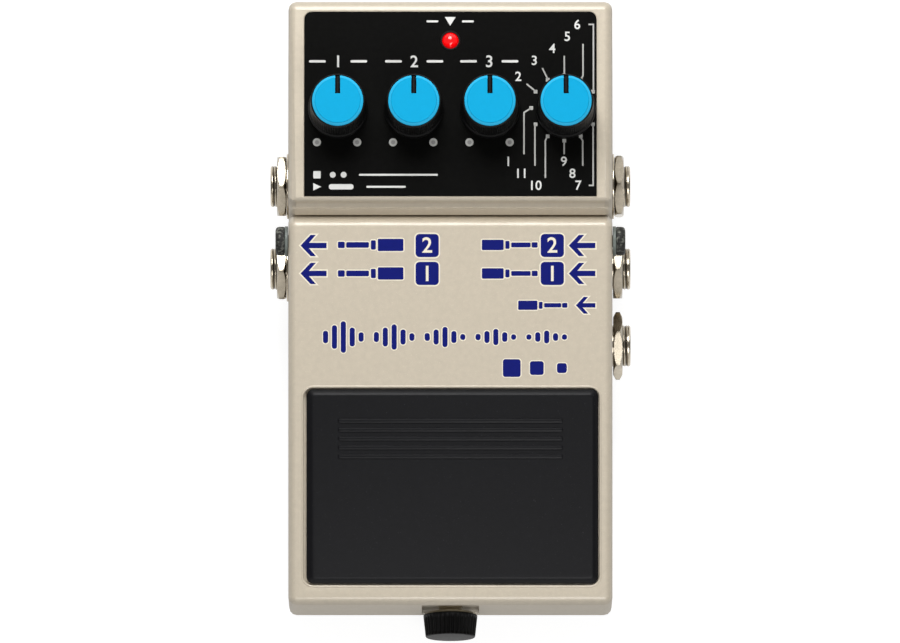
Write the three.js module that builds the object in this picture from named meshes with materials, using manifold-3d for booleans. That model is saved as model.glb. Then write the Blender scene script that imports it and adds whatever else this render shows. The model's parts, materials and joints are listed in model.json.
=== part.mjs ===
// A compact delay pedal: a cast chassis, a hinged treadle over its front part, and four dials behind.
// Lengths are millimetres. +X is the player's right, +Y the rear, +Z up.
// The origin is the centre of the rubber base pad's underside.
import * as THREE from "three";
import { mergeVertices } from "three/addons/utils/BufferGeometryUtils.js";
import Module from "manifold-3d";

const wasm = await Module();
wasm.setup();

const DEG = Math.PI / 180;

// Clearances and the overrun of cutting tools
const SEAT_GAP = 0.05; // between a piece and the flat face it sits on
const FIT_GAP = 0.1; // round a piece that is pressed, screwed or dropped into its seat
const RUN_GAP = 0.08; // round a turning shaft
const BED_GAP = 0.3; // under a part that lies loose or is held by its neighbours
const OVERRUN = 1;

// Case
const CASE_WIDTH = 65.7;
const BASE_LENGTH = 117.2; // chassis front wall to the foot of its rear wall
const BASE_PAD_THICKNESS = 1.5;
const BASE_PLATE_THICKNESS = 1.2;
const HOUSING_HEIGHT = 43.9; // base plate to the control housing's rear top edge
const HOUSING_LENGTH = 41; // rear top edge to the step in front of the panel
const HOUSING_SLOPE = 1.7 * DEG;
const REAR_LEAN = 1.5 * DEG;
const REAR_EDGE_RADIUS = 2;
const EDGE_RADIUS = 1.6; // rounding of the cast outer edges
const SIDE_WALL = 2.5;
const TOP_WALL = 2.2;
const LEDGE_DEPTH = 1.3; // ledge between the housing step and the treadle
const LEDGE_DROP = 2.5; // housing top edge down to the ledge
const COVE_DEPTH = 0.75; // how far the cove at the step's foot runs forward
const GROOVE_RADIUS = 0.25; // fine groove between the cove and the ledge's edge

// Hinge and treadle, whose profile is measured from the hinge axis along and square to its top face
const HINGE_SETBACK = 48; // rear top edge of the case to the hinge axis
const HINGE_HEIGHT = 34.7; // base plate to the hinge axis
const HINGE_PIN_RADIUS = 1.25;
const HINGE_EAR_RADIUS = 2.6; // chassis ears that hold the pins
const HINGE_EAR_WIDTH = 4;
const HINGE_EAR_CLEARANCE = 0.4;
const TREADLE_SLOPE = 10 * DEG;
const PRESS_WEDGE = 2.6 * DEG; // room that the chassis leaves under the treadle's skirts and plate
const SWING_SECTOR = 64 * DEG; // room for the treadle's rear roll below the axis when it is open
const TREADLE_RISE = 4; // hinge axis up to the top face
const LIP_OVERHANG = 5.13; // chassis front wall forward to the treadle's top front edge
const TREADLE_PLATE = 2.5;
const TREADLE_SKIRT = 2;
const ROLL_RADIUS = 5.4; // round rear end about the hinge axis
const ROLL_WALL = 2;
const ROLL_END = 8 * DEG; // where the roll stops inside, below the top face's direction
const LIP_DEPTH = 22.5; // top face down to the foot of the front lip
const LIP_DRAFT = 6.45 * DEG;
const LIP_THICKNESS = 2.4;
const ROLL_CLEARANCE = 0.5; // between the roll and its seat in the chassis
const SEAT_START = 35 * DEG; // where the roll's seat begins, above the level of the axis
const NOSE_CLEARANCE = 0.4; // between the treadle plate and the deck's round rear edge
const DECK_CLEARANCE = 0.7; // between the treadle plate and the chassis deck at the axis
const SKIRT_CLEARANCE = 0.6; // between the treadle skirts and the chassis deck's sides

// Jacks
const JACK_HEIGHT = 17.3; // base plate to the jack axes
const REAR_JACK_SETBACK = 33.5;
const MIDDLE_JACK_SETBACK = 50.6;
const FRONT_JACK_SETBACK = 66.5;
const JACK_BARREL_RADIUS = 4.2;

// Dials
const KNOB_PITCH = 15.38;
const KNOB_SETBACK = 22.5;
const KNOB_ROW_OFFSET = 0.3; // the row's middle lies this far right of the case's middle
const KNOB_NAMES = ["level", "feedback", "time", "mode"];
const BUSHING_RADIUS = 3.7;
const LED_SETBACK = 8.3;
const LED_RADIUS = 1.65;
const PANEL_SIDE_MARGIN = 3.25;

// Thumbscrew at the front
const THUMBSCREW_HEIGHT = 11.5; // base plate to its axis
const THUMBSCREW_STANDOFF = 0.85; // lip face to the head's inner face
const SCREW_RADIUS = 2.5;
const SCREW_TIP_RADIUS = 2;

// Facets
const ROUND_SIDES = 32;
const SMALL_SIDES = 20;
const COARSE_SIDES = 14;
const ARC_STEPS = 10;
const EDGE_STEPS = 3;

// Places that several pieces share
const chassisFootZ = BASE_PAD_THICKNESS + BASE_PLATE_THICKNESS;
const housingTopZ = chassisFootZ + HOUSING_HEIGHT;
const rearY = BASE_LENGTH / 2 - HOUSING_HEIGHT * Math.tan(REAR_LEAN);
const frontY = -BASE_LENGTH / 2;
const hingeY = rearY - HINGE_SETBACK;
const hingeZ = chassisFootZ + HINGE_HEIGHT;
const stepY = rearY - HOUSING_LENGTH;
const seatRadius = ROLL_RADIUS + ROLL_CLEARANCE;
const plateUnderside = TREADLE_RISE - TREADLE_PLATE;
const noseRadius = plateUnderside - NOSE_CLEARANCE;
const deckWidth = CASE_WIDTH - 2 * (TREADLE_SKIRT + SKIRT_CLEARANCE);
const wedge = TREADLE_SLOPE + PRESS_WEDGE;
const lipTopY = frontY - LIP_OVERHANG;
const treadleReach = (hingeY - lipTopY) / Math.cos(TREADLE_SLOPE) - TREADLE_RISE * Math.tan(TREADLE_SLOPE);
const hingePinReach = TREADLE_SKIRT + SKIRT_CLEARANCE + HINGE_EAR_WIDTH;
const jackZ = chassisFootZ + JACK_HEIGHT;
const screwZ = chassisFootZ + THUMBSCREW_HEIGHT;

// The treadle's frame: origin on the hinge axis, tilted like its top face
const treadleFrame = new THREE.Group();
treadleFrame.position.set(0, hingeY, hingeZ);
treadleFrame.rotation.x = TREADLE_SLOPE;
treadleFrame.updateMatrixWorld(true);

// The panel's frame: origin on the housing's rear top edge, tilted like the housing top
const panelFrame = new THREE.Group();
panelFrame.position.set(0, rearY, housingTopZ);
panelFrame.rotation.x = HOUSING_SLOPE;
panelFrame.updateMatrixWorld(true);

const pedal = new THREE.Group();
pedal.add(treadleFrame, panelFrame);

// Materials
const material = (color, roughness, metalness) =>
  new THREE.MeshStandardMaterial({ color, roughness, metalness });
const CREAM_PAINT = material(0xd4c9b8, 0.45, 0.1);
const BLACK_PANEL = material(0x202020, 0.5, 0);
const BLACK_RUBBER = material(0x242527, 0.8, 0);
const BLACK_PLASTIC = material(0x161616, 0.55, 0);
const BLUE_PLASTIC = material(0x20b0e5, 0.35, 0);
const RED_LENS = material(0xfd0009, 0.2, 0);
const NICKEL = material(0xbab4a7, 0.3, 1);
const DARK_METAL = material(0x44433d, 0.4, 0.8);
const ZINC_STEEL = material(0x9a9b9a, 0.4, 1);
const SPRING_STEEL = material(0x8b8d90, 0.35, 1);
const POT_CAN = material(0x8f9294, 0.45, 0.9);
const GREEN_BOARD = material(0x14532d, 0.5, 0);
const GREY_PLASTIC = material(0x3a3b3d, 0.6, 0);
const WHITE_PLASTIC = material(0xd8d8d2, 0.5, 0);
const BATTERY_JACKET = material(0x30343a, 0.35, 0.3);
const RED_WIRE = material(0xb01818, 0.5, 0);
const BLACK_WIRE = material(0x111111, 0.5, 0);

// Solids

// A geometry as a closed solid: shared corners merged, faces that have no area left out.
function solid(geometry) {
  const bare = geometry.clone();
  bare.deleteAttribute("normal");
  bare.deleteAttribute("uv");
  const merged = mergeVertices(bare);
  const corners = merged.index.array;
  const faces = [];
  for (let i = 0; i < corners.length; i += 3) {
    const [a, b, c] = corners.slice(i, i + 3);
    if (a !== b && b !== c && c !== a) faces.push(a, b, c);
  }
  return new wasm.Manifold(
    new wasm.Mesh({
      numProp: 3,
      vertProperties: merged.attributes.position.array,
      triVerts: new Uint32Array(faces),
    }),
  );
}

// The solid of one geometry joined with others and cut by tools.
function joined(...geometries) {
  return geometries.map(solid).reduce((whole, next) => whole.add(next));
}

function cut(whole, ...tools) {
  return tools.map(solid).reduce((rest, tool) => rest.subtract(tool), whole);
}

// Adds one named piece to its frame. Its shape is a geometry or a solid.
function piece(frame, name, shape, surface) {
  const mesh = new THREE.Mesh(shape.isBufferGeometry ? shape : geometryOf(shape), surface);
  mesh.name = name;
  frame.add(mesh);
  return mesh;
}

function geometryOf(shape) {
  const { vertProperties, triVerts } = shape.getMesh();
  const geometry = new THREE.BufferGeometry();
  geometry.setAttribute("position", new THREE.BufferAttribute(vertProperties, 3));
  geometry.setIndex(new THREE.BufferAttribute(triVerts, 1));
  geometry.computeVertexNormals();
  return geometry;
}

// A box centred on x and y that stands on z = 0.
function block(width, depth, height) {
  return new THREE.BoxGeometry(width, depth, height).translate(0, 0, height / 2);
}

// A round bar along +Z that stands on z = 0.
function rod(radius, height, sides = ROUND_SIDES) {
  return turned([[0, 0], [radius, 0], [radius, height], [0, height]], sides);
}

// A ring along +Z that stands on z = 0.
function ring(outer, inner, height, sides = ROUND_SIDES) {
  return turned([[inner, 0], [outer, 0], [outer, height], [inner, height], [inner, 0]], sides);
}

// A body of revolution about Z from [radius, height] points.
function turned(points, sides = ROUND_SIDES) {
  const profile = points.map(([radius, height]) => new THREE.Vector2(radius, height));
  return new THREE.LatheGeometry(profile, sides).rotateX(Math.PI / 2);
}

// An outline in the plane of X and Y, raised along +Z.
function raised(outline, height) {
  return new THREE.ExtrudeGeometry(outline, {
    depth: height,
    bevelEnabled: false,
    curveSegments: EDGE_STEPS,
  });
}

// A side outline in the plane of Y and Z, run across X and centred, with rounded end edges.
function across(outline, width, rounding = 0) {
  const geometry = new THREE.ExtrudeGeometry(outline, {
    depth: width - 2 * rounding,
    bevelEnabled: rounding > 0,
    bevelThickness: rounding,
    bevelSize: rounding,
    bevelOffset: -rounding,
    bevelSegments: EDGE_STEPS,
    curveSegments: EDGE_STEPS,
  });
  geometry.translate(0, 0, rounding - width / 2);
  const sideways = new THREE.Matrix4().makeBasis(
    new THREE.Vector3(0, 1, 0),
    new THREE.Vector3(0, 0, 1),
    new THREE.Vector3(1, 0, 0),
  );
  return geometry.applyMatrix4(sideways);
}

// A round bar of even radius along a curve.
function swept(path, radius, sides, steps) {
  const section = outline(arc(0, 0, radius, 0, 2 * Math.PI, sides).slice(1));
  return new THREE.ExtrudeGeometry(section, { steps, extrudePath: path, bevelEnabled: false });
}

// A rounded rectangle, centred.
function roundedRectangle(width, depth, radius) {
  const shape = new THREE.Shape();
  const right = width / 2;
  const top = depth / 2;
  shape.moveTo(right, -top + radius);
  shape.absarc(right - radius, top - radius, radius, 0, Math.PI / 2);
  shape.absarc(-right + radius, top - radius, radius, Math.PI / 2, Math.PI);
  shape.absarc(-right + radius, -top + radius, radius, Math.PI, 1.5 * Math.PI);
  shape.absarc(right - radius, -top + radius, radius, 1.5 * Math.PI, 2 * Math.PI);
  return shape;
}

// A polygon of [y, z] or [x, y] corners; a corner with a third value is rounded to that radius.
function outline(corners) {
  const last = corners.length - 1;
  const points = corners.flatMap(([x, y, radius = 0], i) => {
    const corner = new THREE.Vector2(x, y);
    if (radius === 0) return [corner];
    const [beforeX, beforeY] = corners[i === 0 ? last : i - 1];
    const [afterX, afterY] = corners[i === last ? 0 : i + 1];
    const before = new THREE.Vector2(beforeX, beforeY);
    const after = new THREE.Vector2(afterX, afterY);
    return roundedCorner(before, corner, after, radius);
  });
  return new THREE.Shape(points);
}

function roundedCorner(before, corner, after, radius) {
  const back = before.clone().sub(corner).normalize();
  const ahead = after.clone().sub(corner).normalize();
  const half = Math.acos(THREE.MathUtils.clamp(back.dot(ahead), -1, 1)) / 2;
  const centre = back.clone().add(ahead).normalize().multiplyScalar(radius / Math.sin(half)).add(corner);
  const from = corner.clone().addScaledVector(back, radius / Math.tan(half)).sub(centre);
  const to = corner.clone().addScaledVector(ahead, radius / Math.tan(half)).sub(centre);
  const sweep = Math.atan2(from.x * to.y - from.y * to.x, from.dot(to));
  const steps = Math.max(EDGE_STEPS, Math.round((Math.abs(sweep) / Math.PI) * ARC_STEPS));
  return Array.from({ length: steps + 1 }, (_, i) =>
    from.clone().rotateAround(new THREE.Vector2(0, 0), (sweep * i) / steps).add(centre),
  );
}

// Corners along an arc, as [x, y] pairs.
function arc(centreX, centreY, radius, from, to, steps = ARC_STEPS) {
  return Array.from({ length: steps + 1 }, (_, i) => {
    const angle = from + ((to - from) * i) / steps;
    return [centreX + radius * Math.cos(angle), centreY + radius * Math.sin(angle)];
  });
}

// The height of a line under the treadle that leaves it room to be pressed.
function underTreadle(y, offset) {
  return hingeZ + offset / Math.cos(wedge) - (hingeY - y) * Math.tan(wedge);
}

// Chassis

const DECK_OFFSET = plateUnderside - DECK_CLEARANCE;
const STEP_CHAMFER = 0.6;
const BAY_LENGTH = 29.2;
const BAY_WIDTH = 55;
const BAY_WALL = 2;
const BAY_FLOOR = 1.8;
const bayRearY = frontY + SIDE_WALL + BAY_LENGTH;
const stepTopZ = housingTopZ - HOUSING_LENGTH * Math.tan(HOUSING_SLOPE);
const ledgeZ = stepTopZ - LEDGE_DROP;
const ledgeY = stepY - LEDGE_DEPTH;
const castDepth = EDGE_RADIUS + OVERRUN; // what the rounded outlines run past the flat foot

function housingOutline() {
  return outline([
    [BASE_LENGTH / 2 + castDepth * Math.tan(REAR_LEAN), chassisFootZ - castDepth],
    [rearY, housingTopZ, REAR_EDGE_RADIUS],
    [stepY, stepTopZ],
    [stepY, chassisFootZ - castDepth],
  ]);
}

function lowerOutline() {
  const seatFoot = -Math.PI / 2 + wedge;
  const foot = chassisFootZ - castDepth;
  return outline([
    [rearY - HOUSING_LENGTH / 2, foot],
    [rearY - HOUSING_LENGTH / 2, ledgeZ],
    [ledgeY, ledgeZ],
    ...arc(hingeY, hingeZ, seatRadius, SEAT_START, seatFoot),
    [frontY, underTreadle(frontY, -seatRadius)],
    [frontY, foot],
  ]);
}

function deckOutline() {
  const foot = chassisFootZ;
  const noseTop = Math.asin(DECK_OFFSET / noseRadius) + wedge;
  return outline([
    [hingeY + seatRadius * Math.cos(SWING_SECTOR), foot],
    [hingeY + seatRadius * Math.cos(SWING_SECTOR), hingeZ - seatRadius * Math.sin(SWING_SECTOR) - OVERRUN],
    [hingeY + seatRadius * Math.cos(SWING_SECTOR), hingeZ - seatRadius * Math.sin(SWING_SECTOR)],
    ...arc(hingeY, hingeZ, noseRadius, -SWING_SECTOR, noseTop),
    [frontY, underTreadle(frontY, DECK_OFFSET)],
    [frontY, foot],
  ]);
}

// Fills the corner between the step and the ledge with a hollow curve.
function coveOutline() {
  const top = stepTopZ - STEP_CHAMFER;
  const curve = arc(0, 0, 1, 0, -Math.PI / 2, EDGE_STEPS)
    .map(([u, v]) => [stepY - COVE_DEPTH * (1 - u), ledgeZ - (ledgeZ - top) * (1 + v)]);
  return outline([
    ...curve,
    [stepY - COVE_DEPTH, ledgeZ - TOP_WALL],
    [stepY + TOP_WALL, ledgeZ - TOP_WALL],
    [stepY + TOP_WALL, top],
  ]);
}

// The fine groove that sets the ledge's edge off as a ridge.
function ridgeGroove() {
  return rod(GROOVE_RADIUS, CASE_WIDTH - 2 * EDGE_RADIUS, COARSE_SIDES)
    .rotateY(Math.PI / 2)
    .translate(EDGE_RADIUS - CASE_WIDTH / 2, stepY - COVE_DEPTH - GROOVE_RADIUS, ledgeZ);
}

// The hollow for the boards and jacks, under the housing and under the deck as far as the bay.
function hollowOutline(deckTop) {
  const foot = chassisFootZ - OVERRUN;
  const ceiling = housingTopZ - TOP_WALL;
  const shell = seatRadius + TOP_WALL;
  const wallY = ledgeY + TOP_WALL;
  const frontEnd = bayRearY + BAY_WALL;
  const earY = hingeY - HINGE_EAR_RADIUS;
  return outline([
    [BASE_LENGTH / 2 - SIDE_WALL, foot],
    [rearY - SIDE_WALL, ceiling],
    [wallY, ceiling - (rearY - wallY) * Math.tan(HOUSING_SLOPE)],
    ...arc(hingeY, hingeZ, shell, Math.acos((wallY - hingeY) / shell), -Math.PI / 2 + wedge),
    [earY, underTreadle(earY, -shell)],
    [earY - TOP_WALL, underTreadle(earY - TOP_WALL, deckTop - TOP_WALL)],
    [frontEnd, underTreadle(frontEnd, deckTop - TOP_WALL)],
    [frontEnd, foot],
  ]);
}

const PANEL_REAR_MARGIN = 2.4;
const PANEL_FRONT_MARGIN = 0.9;
const PANEL_THICKNESS = 0.8;
const PANEL_SINK = 0.5;
const PANEL_CORNER_RADIUS = 1.5;
const panelWidth = CASE_WIDTH - 2 * PANEL_SIDE_MARGIN;
const panelLength = HOUSING_LENGTH - PANEL_REAR_MARGIN - PANEL_FRONT_MARGIN;
const panelMiddle = -PANEL_REAR_MARGIN - panelLength / 2;

function panelRecess() {
  return raised(panelOutline(panelWidth + 2 * FIT_GAP, panelLength + 2 * FIT_GAP), PANEL_SINK + OVERRUN)
    .translate(0, panelMiddle, -PANEL_SINK)
    .applyMatrix4(panelFrame.matrixWorld);
}

// The panel's rear corners are round and its front corners square.
function panelOutline(width, length) {
  return outline([
    [width / 2, -length / 2],
    [width / 2, length / 2, PANEL_CORNER_RADIUS],
    [-width / 2, length / 2, PANEL_CORNER_RADIUS],
    [-width / 2, -length / 2],
  ]);
}

function knobX(index) {
  return KNOB_ROW_OFFSET + (index - (KNOB_NAMES.length - 1) / 2) * KNOB_PITCH;
}

// A tool or piece on the axis of a dial, in the panel's frame.
function onDial(geometry, index, height) {
  return geometry.translate(knobX(index), -KNOB_SETBACK, height);
}

const JACKS = [
  { name: "output_b", side: -1, setback: REAR_JACK_SETBACK, washer: true, cornerUp: true },
  { name: "output_a", side: -1, setback: MIDDLE_JACK_SETBACK, washer: true, cornerUp: true },
  { name: "input_b", side: 1, setback: REAR_JACK_SETBACK, washer: true, cornerUp: true },
  { name: "input_a", side: 1, setback: MIDDLE_JACK_SETBACK, washer: false, cornerUp: true },
  { name: "tempo", side: 1, setback: FRONT_JACK_SETBACK, washer: false, cornerUp: false },
];

// Turns a geometry made along +Z so that it points out of a side, with z = 0 on that side's face.
function outOfSide(geometry, side, y, z) {
  return geometry.rotateY((side * Math.PI) / 2).translate((side * CASE_WIDTH) / 2, y, z);
}

function jackHole({ side, setback }) {
  const hole = rod(JACK_BARREL_RADIUS + FIT_GAP, SIDE_WALL + 2 * OVERRUN, SMALL_SIDES)
    .translate(0, 0, -SIDE_WALL - OVERRUN);
  return outOfSide(hole, side, rearY - setback, jackZ);
}

const DC_JACK_X = 15;
const DC_JACK_HEIGHT = 23;
const DC_COLLAR_RADIUS = 5.4;

// Turns a geometry made along +Z so that it points out of the rear wall, with z = 0 on its outer face.
function outOfRear(geometry) {
  const wallY = rearY + (HOUSING_HEIGHT - DC_JACK_HEIGHT) * Math.tan(REAR_LEAN);
  return geometry.rotateX(-Math.PI / 2).translate(DC_JACK_X, wallY, chassisFootZ + DC_JACK_HEIGHT);
}

const SPRING_X = -5;
const SPRING_SETBACK = 71.5;
const SPRING_RADIUS = 6;
const SPRING_WIRE_RADIUS = 0.55;
const WELL_CLEARANCE = 1.2;
const WELL_WALL = 1.5;
const WELL_FLOOR_HEIGHT = 13; // base plate to the well's floor
const springY = rearY - SPRING_SETBACK;
const wellRadius = SPRING_RADIUS + WELL_CLEARANCE;
const wellFloorZ = chassisFootZ + WELL_FLOOR_HEIGHT;

const SWITCH_X = 10;
const SWITCH_SETBACK = 71;
const SWITCH_CAP_RADIUS = 2.8;
const SWITCH_HOLE_RADIUS = 3.2;
const SWITCH_HOLE_DEPTH = 11.6; // hinge axis down to the hole's lower end
const switchY = rearY - SWITCH_SETBACK;

const BUSH_WIDTH = 8.6;
const BUSH_ABOVE_AXIS = 4.2;
const BUSH_BELOW_AXIS = 6.7;
const GUIDE_SIDE_GAP = 0.3;
const bushHeight = BUSH_ABOVE_AXIS + BUSH_BELOW_AXIS;
const bushMiddleZ = screwZ + (BUSH_ABOVE_AXIS - BUSH_BELOW_AXIS) / 2;

const BASE_SCREW_RADIUS = 1.25;
const BASE_SCREW_LENGTH = 7;
const BASE_SCREW_SIDE_INSET = 2.9;
const BASE_SCREW_END_INSET = 4.4;
const BASE_BOSS_WIDTH = 5;
const BASE_BOSS_HEIGHT = 8;
const BASE_SCREWS = [
  { side: 1, end: 1 },
  { side: -1, end: 1 },
  { side: 1, end: -1 },
  { side: -1, end: -1 },
];

function atBaseScrew(geometry, { side, end }, z) {
  const x = side * (CASE_WIDTH / 2 - BASE_SCREW_SIDE_INSET);
  const y = end * (BASE_LENGTH / 2 - BASE_SCREW_END_INSET);
  return geometry.translate(x, y, z);
}

const LEAD_NOTCH_WIDTH = 5;
const LEAD_NOTCH_DEPTH = 5;
const LEAD_NOTCH_X = 18;

function chassis() {
  const width = CASE_WIDTH;
  const lowerHollow = width - 2 * SIDE_WALL;
  const deckHollow = deckWidth - 2 * BAY_WALL;
  const shell = joined(
    across(housingOutline(), width, EDGE_RADIUS),
    across(lowerOutline(), width, EDGE_RADIUS),
    across(deckOutline(), deckWidth),
    across(coveOutline(), width - 2 * EDGE_RADIUS),
  );
  const hollow = joined(
    across(hollowOutline(-seatRadius), lowerHollow),
    across(hollowOutline(DECK_OFFSET), deckHollow),
  );
  const flatFoot = block(2 * width, 2 * BASE_LENGTH, 2 * castDepth)
    .translate(0, 0, chassisFootZ - 2 * castDepth);
  const bay = block(BAY_WIDTH, BAY_LENGTH, HINGE_HEIGHT)
    .translate(0, frontY + SIDE_WALL + BAY_LENGTH / 2, chassisFootZ + BAY_FLOOR);
  const hollowed = cut(shell.subtract(hollow), flatFoot, bay, stepChamfer(), ridgeGroove(), panelRecess());
  return cut(hollowed.add(spine()).add(hingeEars()), ...chassisHoles());
}

// Round ears at the deck's rear corners, which hold the hinge pins.
function hingeEars() {
  const ears = [-1, 1].map((side) => hingeRoller(HINGE_EAR_RADIUS, 0, side).translate(0, hingeY, hingeZ));
  return joined(...ears);
}

// A roller on the hinge axis, as wide as an ear and a gap on each side of it.
function hingeRoller(radius, gap, side) {
  const roller = rod(radius, HINGE_EAR_WIDTH + 2 * gap, SMALL_SIDES).rotateY(Math.PI / 2);
  const inner = side * (deckWidth / 2 - HINGE_EAR_WIDTH / 2) - HINGE_EAR_WIDTH / 2 - gap;
  return roller.translate(inner, 0, 0);
}

// The step's top edge is broken by a chamfer right across.
function stepChamfer() {
  return across(
    outline([
      [stepY + STEP_CHAMFER, stepTopZ + OVERRUN],
      [stepY - OVERRUN, stepTopZ + OVERRUN],
      [stepY - OVERRUN, stepTopZ - STEP_CHAMFER - OVERRUN],
      [stepY, stepTopZ - STEP_CHAMFER],
      [stepY + STEP_CHAMFER, stepTopZ],
    ]),
    CASE_WIDTH + 2 * OVERRUN,
  );
}

// Screw bosses in the hollow's rear corners, and the spring's well under the deck.
function spine() {
  const wellTop = underTreadle(springY - wellRadius - WELL_WALL, DECK_OFFSET);
  const well = rod(wellRadius + WELL_WALL, wellTop - wellFloorZ + WELL_WALL, SMALL_SIDES)
    .translate(SPRING_X, springY, wellFloorZ - WELL_WALL);
  const bossLength = 2 * BASE_SCREW_END_INSET - SIDE_WALL;
  const bosses = BASE_SCREWS.filter(({ end }) => end > 0).map((screw) =>
    atBaseScrew(block(BASE_BOSS_WIDTH, bossLength, BASE_BOSS_HEIGHT), screw, chassisFootZ),
  );
  return joined(well, ...bosses);
}

function chassisHoles() {
  const bushings = KNOB_NAMES.map((_, i) =>
    onDial(rod(BUSHING_RADIUS + FIT_GAP, TOP_WALL + 2 * OVERRUN, SMALL_SIDES), i, -TOP_WALL - OVERRUN)
      .applyMatrix4(panelFrame.matrixWorld),
  );
  const led = rod(LED_RADIUS + FIT_GAP, TOP_WALL + 2 * OVERRUN, SMALL_SIDES)
    .translate(0, -LED_SETBACK, -TOP_WALL - OVERRUN)
    .applyMatrix4(panelFrame.matrixWorld);
  const dc = rod(DC_COLLAR_RADIUS + FIT_GAP, SIDE_WALL + 2 * OVERRUN, SMALL_SIDES);
  outOfRear(dc.translate(0, 0, -SIDE_WALL - OVERRUN));
  const pins = [-1, 1].map((side) => {
    const hole = rod(HINGE_PIN_RADIUS + FIT_GAP, hingePinReach + FIT_GAP, COARSE_SIDES);
    return outOfSide(hole.translate(0, 0, -hingePinReach - FIT_GAP), side, hingeY, hingeZ);
  });
  const well = rod(wellRadius, HINGE_HEIGHT, SMALL_SIDES).translate(SPRING_X, springY, wellFloorZ);
  const plunger = rod(SWITCH_HOLE_RADIUS, HINGE_HEIGHT, SMALL_SIDES)
    .translate(SWITCH_X, switchY, hingeZ - SWITCH_HOLE_DEPTH);
  const bush = block(BUSH_WIDTH + 2 * FIT_GAP, 2 * (SIDE_WALL + OVERRUN), bushHeight + 2 * FIT_GAP)
    .translate(0, frontY, bushMiddleZ - bushHeight / 2 - FIT_GAP);
  const screwHole = BASE_SCREW_RADIUS + FIT_GAP;
  const screws = BASE_SCREWS.map((screw) =>
    atBaseScrew(rod(screwHole, BASE_SCREW_LENGTH, COARSE_SIDES), screw, chassisFootZ - OVERRUN),
  );
  const notch = block(LEAD_NOTCH_WIDTH, BAY_WALL + 2 * OVERRUN, HINGE_HEIGHT)
    .translate(LEAD_NOTCH_X, bayRearY + BAY_WALL / 2, underTreadle(bayRearY, DECK_OFFSET))
    .translate(0, 0, -LEAD_NOTCH_DEPTH);
  return [...bushings, led, dc, ...pins, ...JACKS.map(jackHole), well, plunger, bush, ...screws, notch];
}

piece(pedal, "chassis", chassis(), CREAM_PAINT);

// Base

const BASE_PLATE_MARGIN = 0.3;
const BASE_PLATE_CORNER = 2;
const BASE_PAD_MARGIN = 1;
const BASE_SCREW_HEAD_RADIUS = 2.3;
const BASE_SCREW_HEAD_HEIGHT = 1.1;
const BASE_PAD_NOTCH_RADIUS = 4.2;

function baseSheet(margin, thickness) {
  const sheet = roundedRectangle(CASE_WIDTH - 2 * margin, BASE_LENGTH - 2 * margin, BASE_PLATE_CORNER);
  return raised(sheet, thickness - SEAT_GAP);
}

function baseScrewHoles(radius) {
  const depth = chassisFootZ + 2 * OVERRUN;
  return BASE_SCREWS.map((screw) => atBaseScrew(rod(radius, depth, COARSE_SIDES), screw, -OVERRUN));
}

function baseScrew(screw) {
  const head = rod(BASE_SCREW_HEAD_RADIUS, BASE_SCREW_HEAD_HEIGHT, COARSE_SIDES);
  const shank = rod(BASE_SCREW_RADIUS, BASE_SCREW_LENGTH, COARSE_SIDES);
  const z = BASE_PAD_THICKNESS - SEAT_GAP - BASE_SCREW_HEAD_HEIGHT;
  return joined(atBaseScrew(head, screw, z), atBaseScrew(shank, screw, z));
}

const basePlate = baseSheet(BASE_PLATE_MARGIN, BASE_PLATE_THICKNESS).translate(0, 0, BASE_PAD_THICKNESS);
piece(pedal, "bottom_plate", cut(solid(basePlate), ...baseScrewHoles(BASE_SCREW_RADIUS + FIT_GAP)), ZINC_STEEL);
const basePad = baseSheet(BASE_PAD_MARGIN, BASE_PAD_THICKNESS);
piece(pedal, "base_pad", cut(solid(basePad), ...baseScrewHoles(BASE_PAD_NOTCH_RADIUS)), BLACK_RUBBER);
BASE_SCREWS.forEach((screw, i) => piece(pedal, "base_screw_" + (i + 1), baseScrew(screw), ZINC_STEEL));

// Control panel, its light and the boards

const LED_RING_RADIUS = 2.05;
const LED_PROUD = 1;
const LED_FLANGE_RADIUS = 2.1;
const LED_FLANGE_HEIGHT = 1;
const LED_LEG = 0.6;
const LED_LEG_SPACING = 1.6;
const POT_RADIUS = 7;
const POT_HEIGHT = 7;
const BOARD_THICKNESS = 1.6;
const CONTROL_BOARD_CLEARANCE = 1.35; // to the side walls
const CONTROL_BOARD_LENGTH = 32;
const panelTop = PANEL_THICKNESS - PANEL_SINK;
const wallUnderside = -TOP_WALL - SEAT_GAP;
const controlBoardTop = wallUnderside - POT_HEIGHT - BED_GAP;

function controlPanel() {
  const sheet = raised(panelOutline(panelWidth, panelLength), PANEL_THICKNESS - SEAT_GAP)
    .translate(0, panelMiddle, SEAT_GAP - PANEL_SINK);
  const depth = PANEL_THICKNESS + 2 * OVERRUN;
  const dialHole = () => rod(BUSHING_RADIUS + FIT_GAP, depth, SMALL_SIDES);
  const dials = KNOB_NAMES.map((_, i) => onDial(dialHole(), i, -OVERRUN));
  const light = rod(LED_RING_RADIUS, depth, SMALL_SIDES).translate(0, -LED_SETBACK, -OVERRUN);
  return cut(solid(sheet), ...dials, light);
}

function statusLed() {
  const barrel = panelTop + LED_PROUD - LED_RADIUS;
  const foot = wallUnderside - LED_FLANGE_HEIGHT;
  const dome = arc(0, barrel, LED_RADIUS, 0, Math.PI / 2, EDGE_STEPS);
  const lens = turned(
    [
      [0, foot],
      [LED_FLANGE_RADIUS, foot],
      [LED_FLANGE_RADIUS, wallUnderside],
      [LED_RADIUS, wallUnderside],
      ...dome,
    ],
    SMALL_SIDES,
  );
  const legLength = foot - controlBoardTop - BED_GAP;
  const legs = [-1, 1].map((side) =>
    block(LED_LEG, LED_LEG, legLength + SEAT_GAP)
      .translate((side * LED_LEG_SPACING) / 2, 0, controlBoardTop + BED_GAP),
  );
  return joined(...[lens, ...legs].map((part) => part.translate(0, -LED_SETBACK, 0)));
}

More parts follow.
